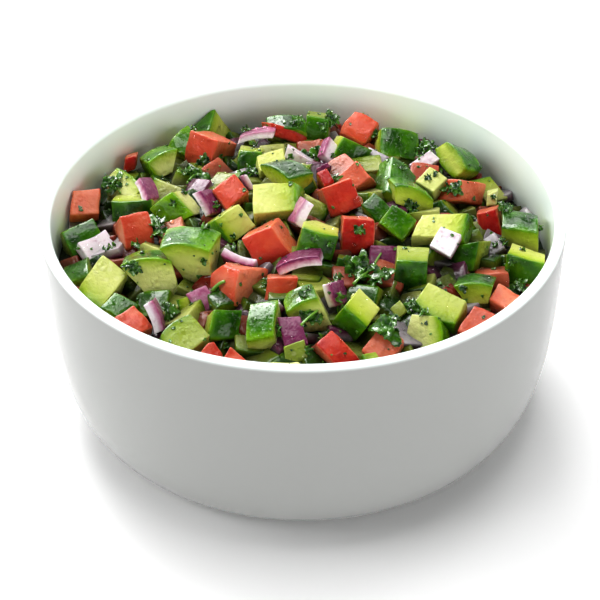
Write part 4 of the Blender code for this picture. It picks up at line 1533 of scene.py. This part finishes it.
class Blades:
    """Collects thin leaf blades into one mesh."""

    def __init__(self):
        self.points = []
        self.faces = []

    def add(self, place, turn, width, thick, lobes, curl, draw, spokes=LEAF_SPOKES, rings=LEAF_RINGS):
        """A leaf folded along its middle, with toothed lobes, its two faces alike and its edge closed."""
        phase = draw.uniform(0, math.tau)
        fold = draw.uniform(*LEAF_FOLDS) * curl
        upper = len(self.points)
        lower = upper + 1 + rings * spokes
        for side in (0.5, -0.5):
            self.points.append(place + turn @ Vector((0, 0, side * thick)))
            for ring in range(1, rings + 1):
                share = ring / rings
                for spoke in range(spokes):
                    angle = math.tau * spoke / spokes
                    fan = 1 - LEAF_NARROWING * swell(angle)
                    notch = LOBE_DEPTH * swell(lobes * angle) + TOOTH_DEPTH * (spoke % 2)
                    reach = width / 2 * share * fan * (1 - share ** 2 * notch)
                    wave = curl * share ** 2 * math.sin(lobes * angle + phase)
                    lift = fold * share * abs(math.sin(angle)) + wave + side * thick
                    spot = Vector((reach * math.cos(angle), reach * math.sin(angle), lift))
                    self.points.append(place + turn @ spot)
        edge = 1 + (rings - 1) * spokes
        self.faces += dish_faces(upper, rings, spokes)
        self.faces += [face[::-1] for face in dish_faces(lower, rings, spokes)]
        self.faces += side_faces(lower + edge, upper + edge, spokes)

    def made(self, name, look):
        """The blades as one object, kept inside the bowl."""
        return mesh_object(name, [kept_inside(point) for point in self.points], self.faces, look)


def add_sprig(blades, tree, row, sizes, number):
    """A sprig of small curled leaves lying where the eye sees it."""
    seen, width, turn = row
    draw = random.Random(number)
    ray = sight(seen)
    hit, normal = tree.ray_cast(EYE, ray)[:2]
    if hit is None:
        raise RuntimeError(f"a sprig's place misses the heap: {seen}")
    if normal.dot(ray) > 0:
        normal = -normal
    up = (normal + Z_UP - ray * SPRIG_TO_EYE).normalized()
    lie = resting_turn(up, math.radians(turn))
    for leaf in range(SPRIG_LEAVES):
        angle = leaf * GOLDEN_ANGLE + draw.uniform(-SPRIG_SWAY, SPRIG_SWAY)
        reach = width * MM * SPRIG_REACH * math.sqrt(leaf / SPRIG_LEAVES)
        rise = SPRIG_LIFT + width * MM * SPRIG_RISE * (1 - leaf / SPRIG_LEAVES)
        out = lie @ Matrix.Rotation(angle, 3, "Z")
        tilt = Matrix.Rotation(draw.uniform(*SPRIG_TILTS), 3, "Y")
        roll = Matrix.Rotation(draw.uniform(-SPRIG_ROLL, SPRIG_ROLL), 3, "X")
        leaf_width = width * MM * draw.uniform(*SPRIG_LEAF_WIDTHS)
        place = hit + out @ Vector((reach, 0, rise))
        lobes = draw.choice(SPRIG_LOBES)
        curl = SPRIG_CURL * leaf_width
        blades.add(place, out @ (tilt @ roll), leaf_width, sizes.leaf_thick, lobes, curl, draw)


def stem_mesh(tree):
    """Short bowed stems that lie on the heap between the places where the eye sees their ends."""
    points, faces = [], []
    angles = [math.tau * side / STEM_SIDES for side in range(STEM_SIDES)]
    for first, second, radius in STEMS:
        ends = [tree.ray_cast(EYE, sight(seen))[0] for seen in (first, second)]
        if None in ends:
            raise RuntimeError(f"a stem's end misses the heap: {first}, {second}")
        run = ends[1] - ends[0]
        lie = run.to_track_quat("Z", "Y").to_matrix()
        rings = [len(points) + step * STEM_SIDES for step in range(STEM_STEPS + 1)]
        for step in range(STEM_STEPS + 1):
            share = step / STEM_STEPS
            middle = ends[0] + run * share + Z_UP * ((STEM_LIFT + math.sin(math.pi * share)) * radius * MM)
            girth = radius * MM * (1 - STEM_TAPER * share)
            points += [middle + lie @ Vector((girth * math.cos(a), girth * math.sin(a), 0)) for a in angles]
        for near, far in zip(rings, rings[1:]):
            faces += side_faces(near, far, STEM_SIDES)
        faces.append(tuple(range(rings[1] - 1, rings[0] - 1, -1)))
        faces.append(tuple(range(rings[-1], rings[-1] + STEM_SIDES)))
    return [kept_inside(point) for point in points], faces


def scattered_hits(tree, count, draw):
    """Random spots on the heap's surface and its directions there, seen from many sides above it."""
    hits = []
    while len(hits) < count:
        reach, angle = SCATTER_REACH * math.sqrt(draw.random()), draw.uniform(0, math.tau)
        aim = Vector((reach * math.cos(angle), reach * math.sin(angle), 0))
        aim.z = dome(aim.x, aim.y)
        sideways, back = draw.uniform(-SCATTER_SIDEWAYS, SCATTER_SIDEWAYS), draw.uniform(*SCATTER_BACK)
        lean = Vector((sideways, back, 1)).normalized()
        hit, normal = tree.ray_cast(aim + lean * SCATTER_HEIGHT, -lean)[:2]
        if hit is None or math.hypot(hit.x, hit.y) > SCATTER_EDGE:
            continue
        if normal.dot(lean) < 0:
            normal = -normal
        if normal.z > SCATTER_OVERHANG:
            hits.append((hit, normal))
    return hits


def add_loose_leaves(blades, tree, sizes):
    """Loose leaves that lie on the heap."""
    draw = random.Random(LOOSE_SEED)
    for hit, normal in scattered_hits(tree, sizes.leaves, draw):
        width = draw.uniform(*LOOSE_WIDTHS)
        turn = resting_turn(normal, draw.uniform(0, math.tau))
        roll = Matrix.Rotation(draw.uniform(-LOOSE_ROLL, LOOSE_ROLL), 3, "X")
        place = hit + normal * width * LOOSE_LIFT
        lobes = draw.choice(LOOSE_LOBES)
        blades.add(place, turn @ roll, width, sizes.leaf_thick, lobes, LOOSE_CURL * width, draw)


def add_flecks(blades, tree, sizes):
    """Small flecks of chopped leaf, flat on the heap."""
    draw = random.Random(FLECK_SEED)
    for hit, normal in scattered_hits(tree, sizes.flecks, draw):
        spread = sizes.fleck_large - sizes.fleck_small
        width = sizes.fleck_small + spread * draw.random() ** FLECK_SIZE_POWER
        turn = resting_turn(normal, draw.uniform(0, math.tau))
        place = hit + normal * sizes.leaf_thick / 2
        thick = sizes.leaf_thick * FLECK_THICK
        lobes = draw.choice(FLECK_LOBES)
        blades.add(place, turn, width, thick, lobes, FLECK_CURL * width, draw, FLECK_SPOKES, FLECK_RINGS)


class SALAD_OT_parsley(bpy.types.Operator):
    """Scatter the parsley sprigs and flecks"""

    bl_idname = "salad.parsley"
    bl_label = "Parsley"

    def execute(self, context):
        sizes, looks = context.scene.salad_sizes, context.scene.salad_looks
        tree = heap_tree()
        blades = Blades()
        for number, row in enumerate(PARSLEY):
            add_sprig(blades, tree, row, sizes, number)
        add_loose_leaves(blades, tree, sizes)
        add_flecks(blades, tree, sizes)
        dress(blades.made("parsley_leaves", parsley_material(looks)))
        points, faces = stem_mesh(tree)
        dress(mesh_object("parsley_stems", points, faces, stem_material(looks)))
        return {"FINISHED"}


DROP_RINGS = 4
DROP_SPOKES = 14
DROP_SIZE_POWER = 3
DROP_SEED = 33
# A drop's height and depth as shares of its radius, and how far its side comes down, of half a turn
DROP_HEIGHT = 0.7
DROP_DEPTH = 0.3
DROP_SIDE = 0.62
# Large drops: where the eye sees each one and its radius in mm
DROPS_SEEN = (
    ((358, 201), 1.7),
    ((354, 245), 0.8),
    ((440, 236), 0.8),
    ((88, 246), 0.7),
    ((96, 238), 0.6),
    ((100, 246), 0.6),
    ((172, 222), 0.9),
    ((387, 142), 0.8),
    ((399, 138), 0.7),
    ((257, 217), 0.8),
    ((285, 262), 0.7),
    ((203, 141), 0.6),
    ((276, 127), 0.7),
    ((487, 215), 0.6),
)


def seen_hits(tree):
    """Where each large drop lies on the heap, its surface's direction and its radius."""
    hits = []
    for seen, radius in DROPS_SEEN:
        ray = sight(seen)
        hit, normal = tree.ray_cast(EYE, ray)[:2]
        if hit is not None:
            hits.append((hit, normal if normal.dot(ray) < 0 else -normal, radius * MM))
    return hits


def loose_drops(tree, sizes):
    """Where each small drop lies, its surface's direction and its radius."""
    draw = random.Random(DROP_SEED)
    spread = sizes.drop_large - sizes.drop_small
    hits = scattered_hits(tree, sizes.drops, draw)
    return [(*hit, sizes.drop_small + spread * draw.random() ** DROP_SIZE_POWER) for hit in hits]


def drop_mesh(placed):
    """Flattened drops, each sunk a little into what it lies on."""
    points, faces = [], []
    angles = [math.tau * spoke / DROP_SPOKES for spoke in range(DROP_SPOKES)]
    for hit, normal, radius in placed:
        lie = resting_turn(normal, 0)
        faces += closed_faces(len(points), DROP_RINGS, DROP_SPOKES)
        points.append(hit + normal * radius * DROP_HEIGHT)
        for ring in range(1, DROP_RINGS + 1):
            side = math.pi * DROP_SIDE * ring / DROP_RINGS
            reach, height = radius * math.sin(side), DROP_HEIGHT * radius * math.cos(side)
            points += [hit + lie @ Vector((reach * math.cos(a), reach * math.sin(a), height)) for a in angles]
        points.append(hit - normal * radius * DROP_DEPTH)
    return [kept_inside(point) for point in points], faces


class SALAD_OT_drops(bpy.types.Operator):
    """Bead the dressing on the dice"""

    bl_idname = "salad.drops"
    bl_label = "Dressing"

    def execute(self, context):
        tree = heap_tree()
        points, faces = drop_mesh(seen_hits(tree) + loose_drops(tree, context.scene.salad_sizes))
        dress(mesh_object("dressing_drops", points, faces, dressing_material()))
        return {"FINISHED"}


# ---------------------------------------------------------------- the stage


FLOOR_SIDE = 2.3
# Heights on the sky's unit ball between which the low light fades
HORIZON_FADE = (0.22, 0.45)
PICTURE_GAMMA = 0.88
LIGHT_DISTANCE = 1.4
# A white card left of the window light, which shows in reflections alone: as the lights below, its
# bearing, rise, width and height
GLOSS_CARD = (-33, 41, 0.7, 1.3)
# Each soft light: its setting's name, its bearing and its rise in degrees, its width and its height. A
# bearing of 0 is behind the bowl as the diner sees it, and a negative one is to the left.
LIGHTS = (
    ("window_power", -16, 42, 0.78, 1.05),
    ("back_left_power", -60, 12, 1.6, 0.52),
    ("left_power", -120, 12, 1.6, 0.52),
    ("high_left_power", -100, 38, 0.8, 0.6),
    ("right_power", 127, 15, 0.7, 0.7),
    ("back_right_power", 40, 35, 0.7, 0.7),
    ("top_power", 0, 85, 0.7, 0.7),
)


def soft_light(name, bearing, rise, sides, power):
    """A rectangular light that faces the bowl."""
    turn, lift = math.radians(bearing), math.radians(rise)
    flat = Vector((math.sin(turn), math.cos(turn), 0)) * math.cos(lift)
    place = (flat + Z_UP * math.sin(lift)) * LIGHT_DISTANCE
    data = bpy.data.lights.new(name, "AREA")
    data.shape = "RECTANGLE"
    data.size, data.size_y = sides
    data.energy = power
    made = bpy.data.objects.new(name, data)
    made.location = place
    made.rotation_euler = (Z_UP * BOWL_HEIGHT / 2 - place).to_track_quat("-Z", "Y").to_euler()
    bpy.context.scene.collection.objects.link(made)
    return made


def light_sky(world, sizes):
    """White light low down all round, which fades to a weak light overhead."""
    world.use_nodes = True
    tree = world.node_tree
    split = tree.nodes.new("ShaderNodeSeparateXYZ")
    tree.links.new(tree.nodes.new("ShaderNodeTexCoord").outputs["Generated"], split.inputs[0])
    fade = tree.nodes.new("ShaderNodeMapRange")
    fade.inputs["From Min"].default_value = HORIZON_FADE[0]
    fade.inputs["From Max"].default_value = HORIZON_FADE[1]
    fade.inputs["To Min"].default_value = sizes.horizon
    fade.inputs["To Max"].default_value = sizes.sky
    tree.links.new(split.outputs["Z"], fade.inputs["Value"])
    background = tree.nodes["Background"]
    background.inputs["Color"].default_value = (1, 1, 1, 1)
    tree.links.new(fade.outputs["Result"], background.inputs["Strength"])


class SALAD_OT_stage(bpy.types.Operator):
    """Set the table, the soft lights and the camera"""

    bl_idname = "salad.stage"
    bl_label = "Stage"

    def execute(self, context):
        scene, sizes = context.scene, context.scene.salad_sizes
        half = FLOOR_SIDE / 2
        corners = [(-half, -half, 0), (half, -half, 0), (half, half, 0), (-half, half, 0)]
        mesh = bpy.data.meshes.new("table")
        mesh.from_pydata(corners, [], [(0, 1, 2, 3)])
        mesh.materials.append(floor_material(scene.salad_looks))
        floor = bpy.data.objects.new("table", mesh)
        scene.collection.objects.link(floor)
        for name, bearing, rise, width, height in LIGHTS:
            soft_light(name, bearing, rise, (width, height), getattr(sizes, name))
        bearing, rise, width, height = GLOSS_CARD
        card = soft_light("gloss_card", bearing, rise, (width, height), sizes.gloss_power)
        card.visible_diffuse = False
        scene.world = scene.world or bpy.data.worlds.new("sky")
        light_sky(scene.world, sizes)
        scene.view_settings.view_transform = "Standard"
        scene.view_settings.gamma = PICTURE_GAMMA
        data = bpy.data.cameras.new("diner")
        data.sensor_width = SENSOR
        data.lens = SENSOR * FOCAL / FRAME_SIDE
        data.clip_start = EYE_CLIP
        camera = bpy.data.objects.new("diner", data)
        camera.matrix_world = Matrix.Translation(EYE) @ Matrix((RIGHT, UP, OUT)).transposed().to_4x4()
        scene.collection.objects.link(camera)
        scene.camera = camera
        return {"FINISHED"}


# ---------------------------------------------------------------- panel and running


STEPS = (
    SALAD_OT_stage,
    SALAD_OT_bowl,
    SALAD_OT_core,
    SALAD_OT_cucumber,
    SALAD_OT_tomato,
    SALAD_OT_onion,
    SALAD_OT_parsley,
    SALAD_OT_drops,
)


class SALAD_PT_panel(bpy.types.Panel):
    """The salad's steps and settings"""

    bl_idname = "SALAD_PT_panel"
    bl_label = "Cucumber salad"
    bl_space_type = "VIEW_3D"
    bl_region_type = "UI"
    bl_category = "Salad"

    def draw(self, context):
        for step in STEPS:
            self.layout.operator(step.bl_idname)
        for group in (context.scene.salad_sizes, context.scene.salad_looks):
            for name in group.bl_rna.properties.keys():
                if name not in ("rna_type", "name"):
                    self.layout.prop(group, name)


CLASSES = (SALAD_PG_looks, SALAD_PG_sizes, *STEPS, SALAD_PT_panel)


def register():
    for item in CLASSES:
        bpy.utils.register_class(item)
    bpy.types.Scene.salad_looks = PointerProperty(type=SALAD_PG_looks)
    bpy.types.Scene.salad_sizes = PointerProperty(type=SALAD_PG_sizes)


def unregister():
    del bpy.types.Scene.salad_sizes
    del bpy.types.Scene.salad_looks
    for item in reversed(CLASSES):
        bpy.utils.unregister_class(item)


def main():
    register()
    bpy.ops.salad.stage()
    bpy.ops.salad.bowl()
    bpy.ops.salad.core()
    bpy.ops.salad.cucumber()
    bpy.ops.salad.tomato()
    bpy.ops.salad.onion()
    bpy.ops.salad.parsley()
    bpy.ops.salad.drops()


if __name__ == "__main__":
    main()
